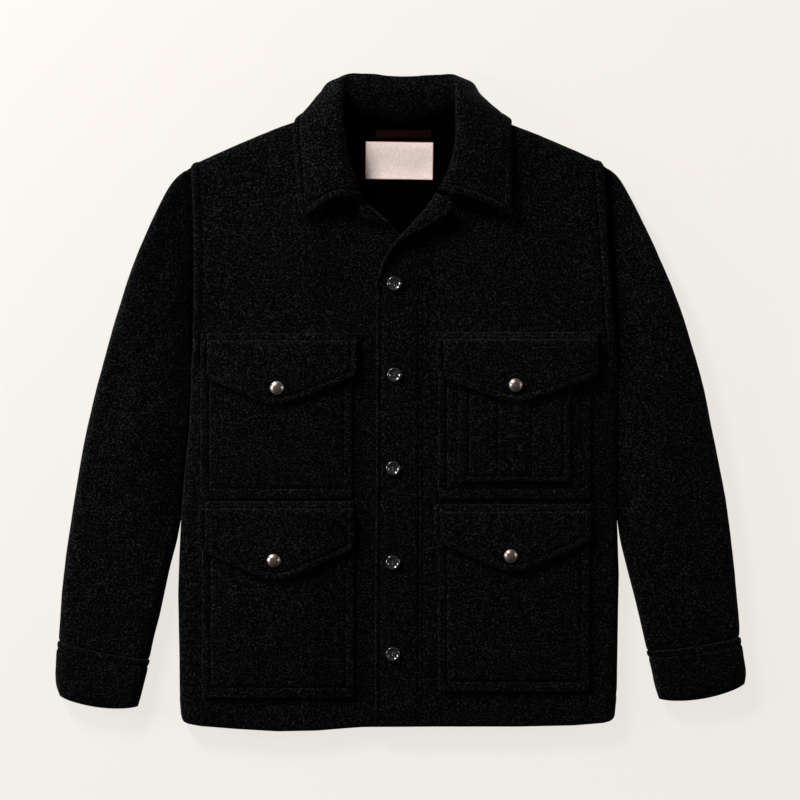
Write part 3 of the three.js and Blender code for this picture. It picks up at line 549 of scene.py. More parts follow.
SNAP_COLORS = [(0.3, (0.07, 0.050, 0.042)), (0.55, (0.19, 0.145, 0.125)), (0.8, (0.40, 0.34, 0.31))]
SNAP_ROUGHNESS = [(0.3, grey(0.26)), (0.7, grey(0.5))]


def wool_material():
    wool = Shading("wool", {"Roughness": 0.95, "Specular IOR Level": 0.006, "Sheen Roughness": 0.4})
    ground = wool.ramp(wool.noise(450, 2.0), WOOL_GROUND)
    ground = wool.mix(1.0, ground, wool.ramp(wool.noise(110), WOOL_MOTTLE), "MULTIPLY")
    flecks = wool.ramp(wool.noise(820, 2.0, 0.5, 0.6), WOOL_FLECKS)
    # The inside attribute mixes in that black and turns the sheen off: real lining on the back's inside,
    # painted shade on the collar stand
    inside = wool.attribute("inside")
    color = wool.mix(inside, wool.mix(flecks, ground, FLECK_COLOR), LINING_AND_SHADE_COLOR)
    outside = wool.math("SUBTRACT", 1.0, inside, clamp=True)
    wool.feed(wool.shader.inputs["Sheen Weight"], wool.math("MULTIPLY", outside, WOOL_SHEEN))
    nap = wool.math("MULTIPLY", wool.noise(700, 3.0, 0.7), 0.6)
    lumps = wool.math("MULTIPLY", wool.noise(240, 2.0, 0.55), 0.9)
    near = wool.math("DIVIDE", wool.math("ABSOLUTE", wool.attribute("stitch")), GROOVE_HALF_WIDTH)
    groove = wool.math("MULTIPLY", wool.math("SUBTRACT", 1.0, near, clamp=True), GROOVE_DEPTH)
    height = wool.math("SUBTRACT", wool.math("ADD", nap, lumps), groove)
    return wool.finish(color, height, 0.8, 0.0012)


def label_material():
    label = Shading("label", {"Roughness": 0.75, "Sheen Weight": 0.2})
    thread = label.ramp(label.math("MULTIPLY", label.attribute("stitch"), 0.1), EDGE_THREAD)
    share = label.math("MULTIPLY", thread, 0.75)
    color = label.mix(share, label.ramp(label.noise(300), LABEL_CREAM), EDGE_THREAD_COLOR)
    return label.finish(color, label.wave(420, 1.2), 0.35, 0.0003)


def tape_material():
    tape = Shading("loop_tape", {"Roughness": 0.7, "Specular IOR Level": 0.02})
    weave = tape.wave(260, direction="DIAGONAL")
    return tape.finish(tape.ramp(weave, TAPE_COLORS), weave, 0.4, 0.0003)


def thread_material():
    thread = Shading("black_thread", {"Roughness": 0.6, "Sheen Weight": 0.2})
    return thread.finish(thread.ramp(thread.noise(900), THREAD_COLORS))


def button_material():
    button = Shading("button", {"Roughness": 0.22, "Coat Weight": 0.4, "Coat Roughness": 0.08})
    color = button.ramp(button.noise(130, 4.0, 0.6, 1.5), BUTTON_COLORS)
    return button.finish(color, button.noise(420, 2.0), 0.12, 0.0004)


def snap_material():
    snap = Shading("snap", {"Metallic": 0.9})
    snap.feed(snap.shader.inputs["Roughness"], snap.ramp(snap.noise(500, 4.0, 0.7), SNAP_ROUGHNESS))
    color = snap.ramp(snap.noise(260, 5.0, 0.7), SNAP_COLORS)
    return snap.finish(color, snap.noise(700), 0.25, 0.0004)


WOOL = wool_material()
LABEL_CLOTH = label_material()
TAPE = tape_material()
THREAD = thread_material()
BUTTON_PLASTIC = button_material()
SNAP_METAL = snap_material()


# Stitch lines

def line_field(lines, x, y):
    """Distance to the nearest of some stitch lines, for the material's groove."""
    best = np.full(np.shape(x), NO_STITCH)
    for line in lines:
        best = np.minimum(best, nearest_on(line, x, y)[0])
    return best


def trough(distance, width, depth):
    return -depth * np.exp(-(distance / width) ** 2)


STITCH = (2.2, 1.2)  # half-width and depth of a stitched groove
BODY_STITCH = (2.2, 1.1)


def armhole_line(side, steps=40):
    y = np.linspace(ARMPIT_Y, SHOULDER_TIP[side][1], steps)
    return np.stack([armhole_x(side, y), y], axis=1)


ARMHOLE_WELT = 11.0
BODY_LINES = {}
for side_name, way in (("right", 1), ("left", -1)):
    armhole = armhole_line(side_name)
    armhole[:, 0] += way * ARMHOLE_WELT
    BODY_LINES[side_name] = [armhole]
BODY_LINES["left"] += [
    [(-26.0, -404), (-24.5, -100), (-24.0, 140)],
    [(22.5, -405), (23.5, 232)],
    [(28.0, -405), (28.5, 236)],
]


SEAM_CALM = 0.2  # share of the relief that stays at a side seam
ARMHOLE_SEAM = (1.6, 1.6)  # half-width and depth of the line at the armhole
WELT_RISE = 1.2
PLACKET_EDGE_X = 31
PLACKET_TOP_Y = 238
PLACKET_RISE = 0.5
HEM_WIDTH = 30
HEM_RISE = 0.6
HEM_LINE = (3.0, 0.4)


def body_relief(side, x, y):
    """Seams, stitched grooves and creases of a front, as height along its normal."""
    seam = nearest_on(SEAM_EDGES[0][0] if side == "right" else SEAM_EDGES[2][0], x, y)[0]
    height = (fold_height(CREASES, x, y) + unevenness(x, y)) * mix(SEAM_CALM, 1, smooth(seam / EDGE_R))
    armhole = nearest_on(armhole_line(side), x, y)[0]
    height += trough(armhole, *ARMHOLE_SEAM)
    height += WELT_RISE * smooth((ARMHOLE_WELT - armhole) / 3) * smooth(armhole / 4)
    for line in BODY_LINES[side]:
        height += trough(nearest_on(line, x, y)[0], *BODY_STITCH)
    if side == "left":
        height += PLACKET_RISE * smooth((PLACKET_EDGE_X - x) / 4) * (y < PLACKET_TOP_Y)
    hem = nearest_on(HEM, x, y)[0]
    height += HEM_RISE * smooth((HEM_WIDTH - hem) / 6) * smooth(hem / 5)
    return height + trough(hem - HEM_WIDTH - 1, *HEM_LINE)


# Fronts and back

def inner_height(side, y):
    tip, neck = SHOULDER_TIP[side][1], NECK_POINT[side][1]
    return look_up([(HEM_FROM_Y, FRONT_FOOT_Y), (HEM_TO_Y, HEM_TO_Y), (0, 0),
                    (tip - EDGE_R, neck - EDGE_R), (tip, neck)], y)


def turn_steps(count):
    return EDGE_R * (1 - np.cos(np.linspace(0, math.pi / 2, count)))


SHAPED_FROM_Y = 150


def row_points(side, y, inner, shares_of):
    """Plan points of one row from the outer edge to inner."""
    ox, oy = outer_x(side, y), y
    span = math.hypot(inner[0] - ox, inner[1] - oy)
    shares = shares_of(span)
    bow = SHOULDER_BOW * smooth((y - SHAPED_FROM_Y) / (SHOULDER_TIP[side][1] - SHAPED_FROM_Y))
    px, py = mix(ox, inner[0], shares), mix(oy, inner[1], shares)
    reach = shares * span / math.hypot(NECK_POINT[side][0] - ox, NECK_POINT[side][1] - oy)
    return np.stack([px, py + bow * np.maximum(0, arc(reach))], axis=1)


BACK_STEP = 7.0
BACK_TURN = 8  # columns where it turns up at its seam
BACK_COLUMNS = 26  # columns of each half of the back, and of its middle between the neck points


def shares_to_seam(span):
    """Shares of a row of the back, from its outer seam to the middle."""
    start = turn_steps(BACK_TURN) / span
    return np.concatenate([start, np.linspace(start[-1], 1, BACK_COLUMNS)[1:]])


FRONT_TURN = 15
FRONT_COLUMNS = 58
PLACKET_COLUMNS = 38
PLACKET_REACH = 64.0  # how far in from the front edge the grid stays fine


def shares_to_edge(span):
    """Shares of a row of a front, from its outer seam to its front edge."""
    start = turn_steps(FRONT_TURN) / span
    end = 1 - np.array(EDGE_STEPS)[::-1] / span
    placket = 1 - PLACKET_REACH / span
    wide = np.linspace(start[-1], placket, FRONT_COLUMNS)[1:]
    fine = np.linspace(placket, end[0], PLACKET_COLUMNS)[1:-1]
    return np.concatenate([start, wide, fine, end])


SHOULDER_ROWS = 10


def outer_heights(side, step):
    """Heights of the rows up the outer edge, close together at the hem and at the shoulder."""
    tip = SHOULDER_TIP[side][1]
    head = HEM_FROM_Y + np.array((*EDGE_STEPS, 4.5))
    tail = tip - turn_steps(SHOULDER_ROWS)[::-1]
    middle = np.linspace(head[-1], tail[0], int((tail[0] - head[-1]) / step))[1:-1]
    return np.concatenate([head, middle, tail])


def plan_of(side, heights, inner_of, shares_of):
    """Rows of plan points up one side; the lowest bend from the hem's curve to straight rows."""
    rows = []
    for y in heights:
        t = clamp01((y - HEM_FROM_Y) / (HEM_TO_Y - HEM_FROM_Y))
        row = row_points(side, y, inner_of(side, y), shares_of)
        if t < 1:
            base = row_points(side, HEM_FROM_Y, inner_of(side, HEM_FROM_Y), shares_of)
            top = row_points(side, HEM_TO_Y, inner_of(side, HEM_TO_Y), shares_of)
            hem = np.stack([base[:, 0], look_up(HEM, base[:, 0])], axis=1)
            row = mix(hem, top, t)
        rows.append(row)
    return np.array(rows)


def front_inner(side, y):
    inner_y = inner_height(side, y)
    return look_up(INNER[side], inner_y), inner_y


FRONT_STEP = 3.4
for side_name in ("right", "left"):
    plan = plan_of(side_name, outer_heights(side_name, FRONT_STEP), front_inner, shares_to_edge)
    px, py = plan[..., 0], plan[..., 1]
    faces, normals = front_face(side_name, px, py)
    backs = faces - normals * CLOTH
    faces = faces + normals * body_relief(side_name, px, py)[..., None]
    faces, backs = round_edges(faces, backs, ["first_row", "last_column"])
    front = wall(f"cloth_front_{side_name}", faces, backs, WOOL,
                 lines=line_field(BODY_LINES[side_name], px, py))
    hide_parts(f"front_{side_name}")


def front_height(side, x, y):
    """Height of a front's finished face at plan points."""
    return front_face(side, x, y)[0][..., 2] + fold_height(CREASES, x, y) + unevenness(x, y)


def back_inner(side, y):
    return NECK_POINT[side][0], inner_height(side, y)


def back_plan():
    heights = {side: outer_heights(side, BACK_STEP) for side in ("right", "left")}
    count = len(heights["right"])
    even = np.linspace(0, 1, len(heights["left"]))
    heights["left"] = np.interp(np.linspace(0, 1, count), even, heights["left"])
    right, left = (plan_of(side, heights[side], back_inner, shares_to_seam) for side in ("right", "left"))
    t = np.linspace(0, 1, BACK_COLUMNS)[1:-1]
    rows = []
    for k, y in enumerate(heights["right"]):
        start, end = right[k], left[k][::-1]
        dip = NECK_DIP * smooth((y - SHAPED_FROM_Y) / (SHOULDER_TIP["right"][1] - SHAPED_FROM_Y))
        middle = np.stack([mix(start[-1][0], end[0][0], t),
                           mix(start[-1][1], end[0][1], t) - dip * np.sin(math.pi * t)], axis=1)
        rows.append(np.concatenate([start, middle, end]))
    return np.array(rows)


BACK_UNEVEN = 1.6
plan = back_plan()
px, py = plan[..., 0], plan[..., 1]
faces, normals = back_face(px, py)
backs = faces - normals * CLOTH
backs = backs - normals * (BACK_UNEVEN * unevenness(px, py, SHIFT["back"]))[..., None]
faces, backs = round_edges(faces, backs, ["first_row"])
back = wall("cloth_back", faces, backs, WOOL, lined=True)
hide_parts("back")


# Sleeves and cuffs

SLEEVE = {
    # outer x, outer y, inner x, inner y, height, bow
    "right": [
        (-281.5, 281, -262.9, 30.5, 19.5, 2),
        (-295, 261.5, -263.4, 15.5, 21.5, 0),
        (-312.5, 224.5, -264.1, -4.5, 23, 0),
        (-331.5, 179.5, -265.0, -28, 23.5, 0),
        (-351, 123, -268.2, -60.5, 23.5, 0),
        (-367, 67, -271.9, -98, 23, 0),
        (-383, 8, -274.9, -135.5, 22.5, 0),
        (-396, -48, -279.6, -170, 22, 0),
        (-407, -110.5, -289, -208, 21.5, 0),
        (-415.5, -167, -296, -240.5, 21, 0),
        (-423, -223, -302, -268, 20, 0),
        (-427, -273, -309.5, -297, 19, 0),
        (-429, -299.5, -315, -323, 18, 3),
    ],
    "left": [
        (273.5, 281.5, 272.2, 29.5, 19.5, 2),
        (289, 255.5, 272.0, 14.5, 21.5, 0),
        (304, 225, 271.8, -4.5, 23, 0),
        (322.5, 183.5, 271.5, -28, 23.5, 0),
        (344, 133.5, 271.2, -60.5, 23.5, 0),
        (363, 77, 271.0, -98, 23, 0),
        (380.5, 14.5, 272.0, -135.5, 22.5, 0),
        (393, -48, 275.0, -170, 22, 0),
        (404.5, -104.5, 283.5, -207, 21.5, 0),
        (413, -160.5, 291.5, -238, 21, 0),
        (420.5, -229.5, 298, -264.5, 20, 0),
        (424.5, -273, 304, -290.5, 19, 0),
        (425.5, -294.5, 309, -312, 18, 3),
    ],
}
CUFF = {
    "right": [
        (-429.5, -300, -314.5, -323.5, 19.5, 3),
        (-431.5, -323, -320, -345.5, 19, 4),
        (-432, -351, -325.5, -367, 18, 5),
        (-426.5, -370, -330, -383, 16.5, 6.5),
    ],
    "left": [
        (426, -295, 308.5, -312.5, 19.5, 3),
        (429.5, -316, 314.5, -333, 19, 4.5),
        (433, -339.5, 319.5, -356.5, 18, 6),
        (431, -355, 325, -373.5, 16.5, 8),
    ],
}
CROWN = 1.2
ARMHOLE_GAP = 0.45
INNER_DIP = 0.62  # share of its height that a sleeve loses at its inner edge
INNER_DIP_REACH = 78.0
DIP_CURVE = 1.8
DIP_TO_Y = (-260.0, -120.0)  # the dip fades out between these two heights
TOUCH = 0.9  # how far a sleeve's inner edge leans on the body's side
TOUCH_REACH = 9.0
TOUCH_TO_Y = (-165.0, -140.0)
FREE_ROWS = 8  # a sleeve's first rows, at the armhole's seam
TURNED_POINTS = 9
FLAT_POINTS = 44


def section_ring(plan_at, span, height):
    """The closed ring of points of a flattened section; a row's first half is its upper side."""
    turned = turn_steps(TURNED_POINTS)
    shares = np.concatenate([turned / span, np.linspace(EDGE_R / span, 1 - EDGE_R / span, FLAT_POINTS)[1:-1],
                             1 - turned[::-1] / span])
    level = clamp01(1 - np.minimum(shares, 1 - shares) * span / EDGE_R)
    round_up = np.sqrt(1 - level ** 2)
    x, y = plan_at(shares)
    crown = CROWN * arc(shares) if height > FRONT_Z else 0
    top = np.stack([x, y, height / 2 + height / 2 * round_up + crown], axis=1)
    bottom = np.stack([x, y, height / 2 - height / 2 * round_up], axis=1)[1:-1][::-1]
    return np.concatenate([top, bottom])


def straight_section(ox, oy, ix, iy, height, bow):
    run_x, run_y = ix - ox, iy - oy
    span = math.hypot(run_x, run_y)
    down = (run_y / span, -run_x / span) if run_x > 0 else (-run_y / span, run_x / span)

    def plan_at(share):
        push = bow * arc(share)
        return mix(ox, ix, share) + down[0] * push, mix(oy, iy, share) + down[1] * push

    return section_ring(plan_at, span, height)


def armhole_section(side):
    away = ARMHOLE_GAP * (-1 if side == "right" else 1)
    tip = SHOULDER_TIP[side][1]

    def plan_at(share):
        y = mix(tip, ARMPIT_Y, share)
        return armhole_x(side, y) + away, y

    return section_ring(plan_at, tip - ARMPIT_Y, FRONT_Z)


def tube_backs(rings, thickness):
    """A tube's inner points, no lower than its thickness, and its normals."""
    around = np.roll(rings, -1, axis=1) - np.roll(rings, 1, axis=1)
    along = np.gradient(rings, axis=0)
    normals = np.cross(around, along)
    size = rings.shape[1]
    for i in (0, -1):
        chord = rings[i][size // 2] - rings[i][0]
        through = np.array([chord[1], -chord[0], 0.0])
        through /= np.linalg.norm(through)
        normals[i] -= (normals[i] @ through)[:, None] * through
    normals /= np.maximum(np.linalg.norm(normals, axis=-1, keepdims=True), 1e-9)
    outward = rings - rings.mean(axis=1, keepdims=True)
    flip = np.sign((normals[..., 2] * outward[..., 2]).sum(axis=1))
    normals *= np.where(flip == 0, 1, flip)[:, None, None]
    inner = rings - normals * thickness
    inner[..., 2] = np.maximum(inner[..., 2], thickness)
    return inner, normals


# How steep a tube's normal is where its upper or its lower side starts, and over how much it turns there
UPPER_SIDE = (-0.2, 0.6)
LOWER_SIDE = (0.3, 0.5)


def sides_of(normals):
    """How far each point of a tube is on its upper side, and how far it is off its lower side."""
    up = normals[..., 2]
    upper = smooth((up - UPPER_SIDE[0]) / UPPER_SIDE[1])
    return upper, 1 - smooth((-up - LOWER_SIDE[0]) / LOWER_SIDE[1])


def above_ground(points):
    points[..., 2] = np.maximum(points[..., 2], 0)
    return points


def lay_on_body(rings, side):
    """Sinks a sleeve's inner edge and leans it on the body; gives each point's distance from the body."""
    body_edge = [(px, py) for py, px in SIDE[side]] + armhole_line(side).tolist()
    to_body = nearest_on(body_edge, rings[..., 0], rings[..., 1])[0]
    dip = INNER_DIP * (1 - clamp01(to_body / INNER_DIP_REACH)) ** DIP_CURVE
    rings[..., 2] *= 1 - dip * smooth((rings[..., 1] - DIP_TO_Y[0]) / (DIP_TO_Y[1] - DIP_TO_Y[0]))
    lean = TOUCH * (1 - smooth(to_body / TOUCH_REACH))
    lean = lean * smooth((rings[..., 1] - TOUCH_TO_Y[0]) / (TOUCH_TO_Y[1] - TOUCH_TO_Y[0]))
    lean[:FREE_ROWS] = 0
    rings[..., 0] += lean * (1 if side == "right" else -1)
    return to_body


# Creases of the sleeves, in the same terms as those of the fronts
SLEEVE_CREASES = [
    # x, y, along x, along y, width, depth
    (-292, 205, 16, 66, 11, -1.3),
    (-306, 150, 22, 60, 12, -1.1),
    (-322, 178, 24, 52, 14, 0.9),
    (-290, 88, 30, 46, 11, -1.4),
    (-318, 62, 34, 40, 13, -0.9),
    (-342, 96, 26, 46, 15, 0.9),
    (-300, 10, 40, 32, 12, -1.2),
    (-352, 12, 30, 44, 14, -0.9),
    (-330, -32, 46, 26, 13, 0.9),
    (-312, -84, 40, 24, 11, -1.1),
    (-372, -62, 26, 44, 14, -0.8),
    (-346, -118, 44, 20, 12, -0.9),
    (-322, -164, 36, 18, 10, -0.9),
    (-388, -150, 14, 48, 13, 0.7),
    (-356, -206, 42, 14, 11, -0.8),
    (-398, -232, 12, 40, 12, -0.7),
    (-338, -262, 30, 10, 10, 0.7),
    (294, 200, -12, 66, 11, -1.3),
    (310, 150, -20, 58, 13, -1.1),
    (322, 182, -22, 48, 13, 1.0),
    (294, 82, -26, 46, 11, -1.4),
    (322, 58, -32, 42, 14, -0.9),
    (344, 100, -24, 46, 15, 0.9),
    (304, 6, -38, 32, 12, -1.2),
    (350, 14, -28, 46, 14, -0.9),
    (330, -38, -44, 26, 13, 0.9),
    (306, -92, -34, 26, 11, -1.1),
    (368, -66, -24, 46, 13, -0.8),
    (340, -122, -42, 20, 12, -0.9),
    (316, -172, -32, 20, 10, -0.9),
    (384, -148, -12, 48, 13, 0.7),
    (352, -210, -40, 16, 11, -0.8),
    (394, -236, -10, 40, 12, -0.7),
    (334, -252, -28, 12, 10, 0.7),
]
SLEEVE_HEAD = (7.0, 2.4)  # half-width and depth of the dip along the armhole
SLEEVE_END = (2.2, 1.0)
CUFF_STITCH = 9.0
CUFF_RISE = 0.5
CUFF_ROUND = 1.8
# Rows close together at a tube's ends, on the scale of its sections, and how many lie between
SLEEVE_START, SLEEVE_ROWS = (0, 0.04, 0.12, 0.25), 112
CUFF_START, CUFF_ROWS, CUFF_END = (0, 0.02, 0.06, 0.12), 34, (2.91, 2.95, 2.98, 3)


def tube_wall(name, node, rings, inner, lines=None):
    """A tube's wall, with its rings as columns."""
    rings, inner = np.swapaxes(rings, 0, 1), np.swapaxes(inner, 0, 1)
    obj = wall(name, rings, inner, WOOL, closed=True, lines=None if lines is None else lines.T)
    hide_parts(node)


for side_name in ("right", "left"):
    given = [armhole_section(side_name)] + [straight_section(*row) for row in SLEEVE[side_name]]
    count = len(given) - 1
    rings = catmull(given, [*SLEEVE_START, *np.linspace(0.4, count - 0.12, SLEEVE_ROWS), count - 0.06, count])
    to_body = lay_on_body(rings, side_name)
    inner, normals = tube_backs(rings, CLOTH)
    upper, off_ground = sides_of(normals)
    x, y = rings[..., 0], rings[..., 1]
    run = edge_distance(rings, "first_row")
    calm = mix(SEAM_CALM, 1, smooth(to_body / EDGE_R))
    relief = (fold_height(SLEEVE_CREASES, x, y) + unevenness(x, y, SHIFT["sleeve"])) * upper * calm
    relief += (trough(run, *SLEEVE_HEAD) + trough(run[-1] - run, *SLEEVE_END)) * off_ground
    rings = above_ground(rings + normals * relief[..., None])
    tube_wall(f"cloth_sleeve_{side_name}", f"sleeve_{side_name}", rings, inner)

    given = [straight_section(*row) for row in CUFF[side_name]]
    rings = catmull(given, [*CUFF_START, *np.linspace(0.2, 2.86, CUFF_ROWS), *CUFF_END])
    inner, normals = tube_backs(rings, CUFF_CLOTH)
    upper, off_ground = sides_of(normals)
    run = edge_distance(rings, "first_row")
    relief = unevenness(rings[..., 0], rings[..., 1], SHIFT["cuff"]) * upper
    relief += (CUFF_RISE * smooth(run / 3) + trough(run - CUFF_STITCH, *STITCH)) * off_ground
    rings = above_ground(rings + normals * relief[..., None])
    rings, inner = round_edges(rings, inner, ["first_row", "last_row"], CUFF_ROUND)
    tube_wall(f"cloth_cuff_{side_name}", f"cuff_{side_name}", above_ground(rings), inner, run - CUFF_STITCH)


# Collar and lapels

COLLAR = [
    # seam, fold, leaf, edge, stand, turn
    ((-54, 249, 19), (-48, 254, 25), (-79, 255, 32), (-121, 230, 26), 22, 3),
    ((-56, 257, 18), (-49.5, 260, 26), (-84, 262, 32.5), (-127, 243, 25), 21, 4),
    ((-61, 267, 17), (-52.5, 270.5, 28), (-88, 274, 33), (-129, 260.5, 24), 21, 4),
    ((-67.5, 285, 16), (-58, 287, 30), (-94, 292, 33), (-130.5, 289.5, 23.5), 21, 4),
    ((-72.5, 305, 15), (-65, 312, 31), (-98, 315.5, 33), (-132.5, 314.5, 23.5), 22, 4),
    ((-74.6, 325, 13.5), (-70, 339.5, 31), (-102, 338, 32.5), (-134.5, 333, 23), 21, 4),
    ((-75.4, 343, 12.5), (-71.5, 362, 30), (-107, 357, 28), (-134, 346, 20.5), 20, 4),
    ((-73.5, 358, 12.5), (-72.5, 379.5, 28), (-112, 368.5, 20), (-130.5, 355.5, 11.5), 18, 3),
    ((-66, 367, 12), (-73, 393, 24), (-102, 386, 12), (-119, 358.5, 0.6), 17, 0),
    ((-56.5, 363.5, 10.5), (-72, 405, 17), (-93, 399.5, 4), (-103, 344, 0), 16, -2),
    ((-46, 358, 9.5), (-62, 412, 9), (-72, 404.5, 0.6), (-78, 340, 0), 15, -4),
    ((-27, 351.5, 9), (-34, 411, 8), (-36, 402, 0), (-40, 339, 0), 14, -4),
    ((-1, 346, 8.5), (-1, 408.5, 7.5), (-1, 400, 0), (-1, 339, 0), 13.5, -4),
    ((26, 351, 9), (34, 410, 8), (36, 401, 0), (40, 339, 0), 14, -4),
    ((45, 357.5, 9.5), (63, 411, 9), (71, 404, 0.6), (78, 340, 0), 15, -4),
    ((56.5, 363, 10.5), (72, 404, 17), (92, 399.5, 4), (101, 344, 0), 16, -2),
    ((66, 366.5, 12), (70.5, 392, 24), (99, 386, 12), (122, 360, 0.6), 17, 0),
    ((73, 357.5, 12.5), (69.5, 377, 28), (111, 368, 20), (138.5, 354.5, 11), 18, 3),
    ((75.5, 342, 13), (69, 354.5, 31), (103, 352, 29), (139, 342.5, 20.5), 20, 4),
    ((74.5, 324, 14.5), (68.5, 330, 32), (101, 330.5, 34), (138.5, 327, 24), 21, 4),
    ((72, 303, 17), (65, 307, 33), (98, 308, 35.5), (138.5, 304, 25), 23, 4),
    ((67.5, 284, 20), (58, 287, 33), (95.5, 287, 36), (138.5, 280, 27), 25, 4),
    ((63, 274, 23), (52, 274.5, 32), (92, 267, 36.5), (138.5, 257, 29), 26, 4),
    ((60, 268, 26.5), (46.5, 264.5, 30), (89, 254.5, 36.5), (137.5, 234, 31), 28, 3),
]
FOLD_REACH = 6
STAND_SHARE = 0.7


def collar_section(seam, fold, leaf, edge, stand, turn, shares):
    seam, fold, leaf, edge = (np.array(p, float) for p in (seam, fold, leaf, edge))
    over = leaf[:2] - fold[:2]
    over *= FOLD_REACH / np.linalg.norm(over)
    rise = np.array([*mix(seam[:2], fold[:2], STAND_SHARE), stand])
    past = np.array([fold[0] + over[0], fold[1] + over[1], fold[2] + turn])
    points = spaced(centripetal([seam, rise, fold, past, leaf, edge]), shares)
    points[:, 2] = np.maximum(0, points[:, 2])
    return points


ACROSS_COLLAR = np.concatenate([np.linspace(0, 0.972, 62), [0.982, 0.99, 0.9955, 1]])
given = [collar_section(*row, ACROSS_COLLAR) for row in COLLAR]
stations = len(given) - 1
COLLAR_END = np.array((0, 0.04, 0.1, 0.2))  # rows in from each end, on the scale of its sections
COLLAR_ROWS = 236
wanted = [*COLLAR_END, *np.linspace(0.34, stations - 0.34, COLLAR_ROWS), *(stations - COLLAR_END[::-1])]
faces = above_ground(catmull(given, wanted))
normals = grid_normals(faces, 10)
backs = above_ground(faces - normals * CLOTH)

COLLAR_STITCH = 8.5
COLLAR_RISE = 0.5  # of the strip between the stitching and the edge
COLLAR_ROUND = 1.7
COLLAR_EDGES = ["first_row", "last_row", "last_column"]
# Painted shade: the collar stand's faces take the lining's black near the neck seam, where the fold above
# would shade them, and lighten upwards
STAND_PAINTED_SHADE = 0.96  # how dark the stand is at its seam
STAND_SHADE_FADE = 25.0  # height over which it lightens
to_edge = np.min([edge_distance(faces, border) for border in COLLAR_EDGES], axis=0)
relief = trough(to_edge - COLLAR_STITCH, *STITCH) + COLLAR_RISE * smooth((COLLAR_STITCH - to_edge) / 2)
relief += unevenness(faces[..., 0], faces[..., 1], SHIFT["collar"])
faces = above_ground(faces + normals * relief[..., None])
faces, backs = round_edges(faces, backs, COLLAR_EDGES, COLLAR_ROUND)
# The stand's painted shade, by distance up from the neck seam
to_seam = edge_distance(faces, "first_column")
collar = wall("cloth_collar", faces, backs, WOOL, lines=to_edge - COLLAR_STITCH,
              painted_shade=STAND_PAINTED_SHADE * (1 - smooth(to_seam / STAND_SHADE_FADE)))
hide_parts("collar")

LAPEL = {
    # roll x, roll y, edge x, edge y, low, crest, free
    "left": [
        (-33, 140, -28.4, 145, 19.6, 20.3, 20.5),
        (-29.3, 155, -23, 161, 18.6, 22.3, 23),
        (-22, 176, -14, 181, 18, 25, 25.5),
        (-10.5, 195, -1, 199, 18.5, 27.5, 28),
        (5, 212.5, 18, 211, 19, 29, 30),
        (18, 227, 40, 223, 19, 30, 31.5),
        (32, 242, 59, 234, 19, 30.5, 33),
        (45, 261, 65.5, 246, 20, 30.5, 33),
    ],
    "right": [
        (-47, 251.5, -55, 246, 15, 22, 23.5),
        (-36, 243, -46, 230, 14.5, 21.5, 23),
        (-26, 234, -31, 225.5, 14, 20.5, 21),
        (-15, 225, -17, 221.5, 14, 18.4, 18.4),
    ],
}
LAPEL_CLOTH = 2.6
LAPEL_THIN = 0.7
LAPEL_GAIN = 0.7
LAPEL_ROUND = 1.3
LAPEL_STITCH = 7.5
ROLL_SIDE = 0.55
ROLL_TOP = 0.22


def lapel_section(rx, ry, ex, ey, low, crest, free, shares):
    roll, edge = np.array([rx, ry], float), np.array([ex, ey], float)
    points = [[*roll, low], [*roll, mix(low, crest, ROLL_SIDE)], [*mix(roll, edge, ROLL_TOP), crest],
              [*edge, free]]
    return spaced(centripetal(points), shares)


ACROSS_LAPEL = np.concatenate([np.linspace(0, 0.93, 26), [0.955, 0.975, 0.99, 1]])
for side_name in ("left", "right"):
    given = [lapel_section(*row, ACROSS_LAPEL) for row in LAPEL[side_name]]
    last = len(given) - 1
    wanted = np.concatenate([np.linspace(0, last - 0.12, 22 * last), [last - 0.07, last - 0.03, last]])
    faces = catmull(given, wanted)
    normals = grid_normals(faces, 6)
    thickness = np.minimum(LAPEL_CLOTH, LAPEL_THIN + LAPEL_GAIN * wanted)[:, None, None]
    backs = faces + normals * thickness
    faces, backs = round_edges(faces, backs, ["last_row", "last_column"], LAPEL_ROUND)
    lapel = wall(f"cloth_lapel_{side_name}", faces, backs, WOOL,
                 lines=edge_distance(faces, "last_column") - LAPEL_STITCH)
    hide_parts(f"lapel_{side_name}")


# Pockets and flaps

POCKET = {
    "chest_right": {"side": "right", "left": -250, "right": -60.5, "top": 71, "bottom": -122, "bulge": 2.2},
    "chest_left": {"side": "left", "left": 47.5, "right": 237.5, "top": 73, "bottom": -122, "bulge": 2.2},
    "lower_right": {"side": "right", "left": -248, "right": -58, "top": -140, "bottom": -371, "bulge": 3},
    "lower_left": {"side": "left", "left": 47.5, "right": 236, "top": -143, "bottom": -363.5, "bulge": 3},
}
# Where each pocket's stitch lines run, in from its sides and bottom
POCKET_STITCH = {"side": 10.5, "bottom": 13.0}
# How a pocket swells: flatter than a wave across, and from part of a wave up
BULGE_POWER = 0.7
BULGE_START = 0.35
BULGE_SPAN = 1.7
BULGE_RISE = 0.2


def pocket_bulge(pocket, x, y):
    across = clamp01((x - pocket["left"]) / (pocket["right"] - pocket["left"]))
    up = clamp01((y - pocket["bottom"]) / (pocket["top"] - pocket["bottom"]))
    sideways = np.sin(math.pi * across) ** BULGE_POWER
    upwards = np.sin(math.pi * (up + BULGE_START) / BULGE_SPAN) * smooth(up / BULGE_RISE)
    return pocket["bulge"] * sideways * upwards


def pocket_base(pocket, x, y):
    return front_height(pocket["side"], x, y) + LAY_GAP + pocket_bulge(pocket, x, y)


def patch(name, node, plan, base, thickness, material, relief=0, lines=None, radius=HALF_ROUND):
    """A flat piece laid on what is below it, with all its edges rounded."""
    px, py = plan[..., 0], plan[..., 1]
    z = base(px, py)
    backs = np.stack([px, py, z], axis=-1)
    faces = np.stack([px, py, z + thickness + relief], axis=-1)
    faces, backs = round_edges(faces, backs, ["first_row", "last_row", "first_column", "last_column"], radius)
    obj = wall(name, faces, backs, material, lines=lines)
    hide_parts(node)


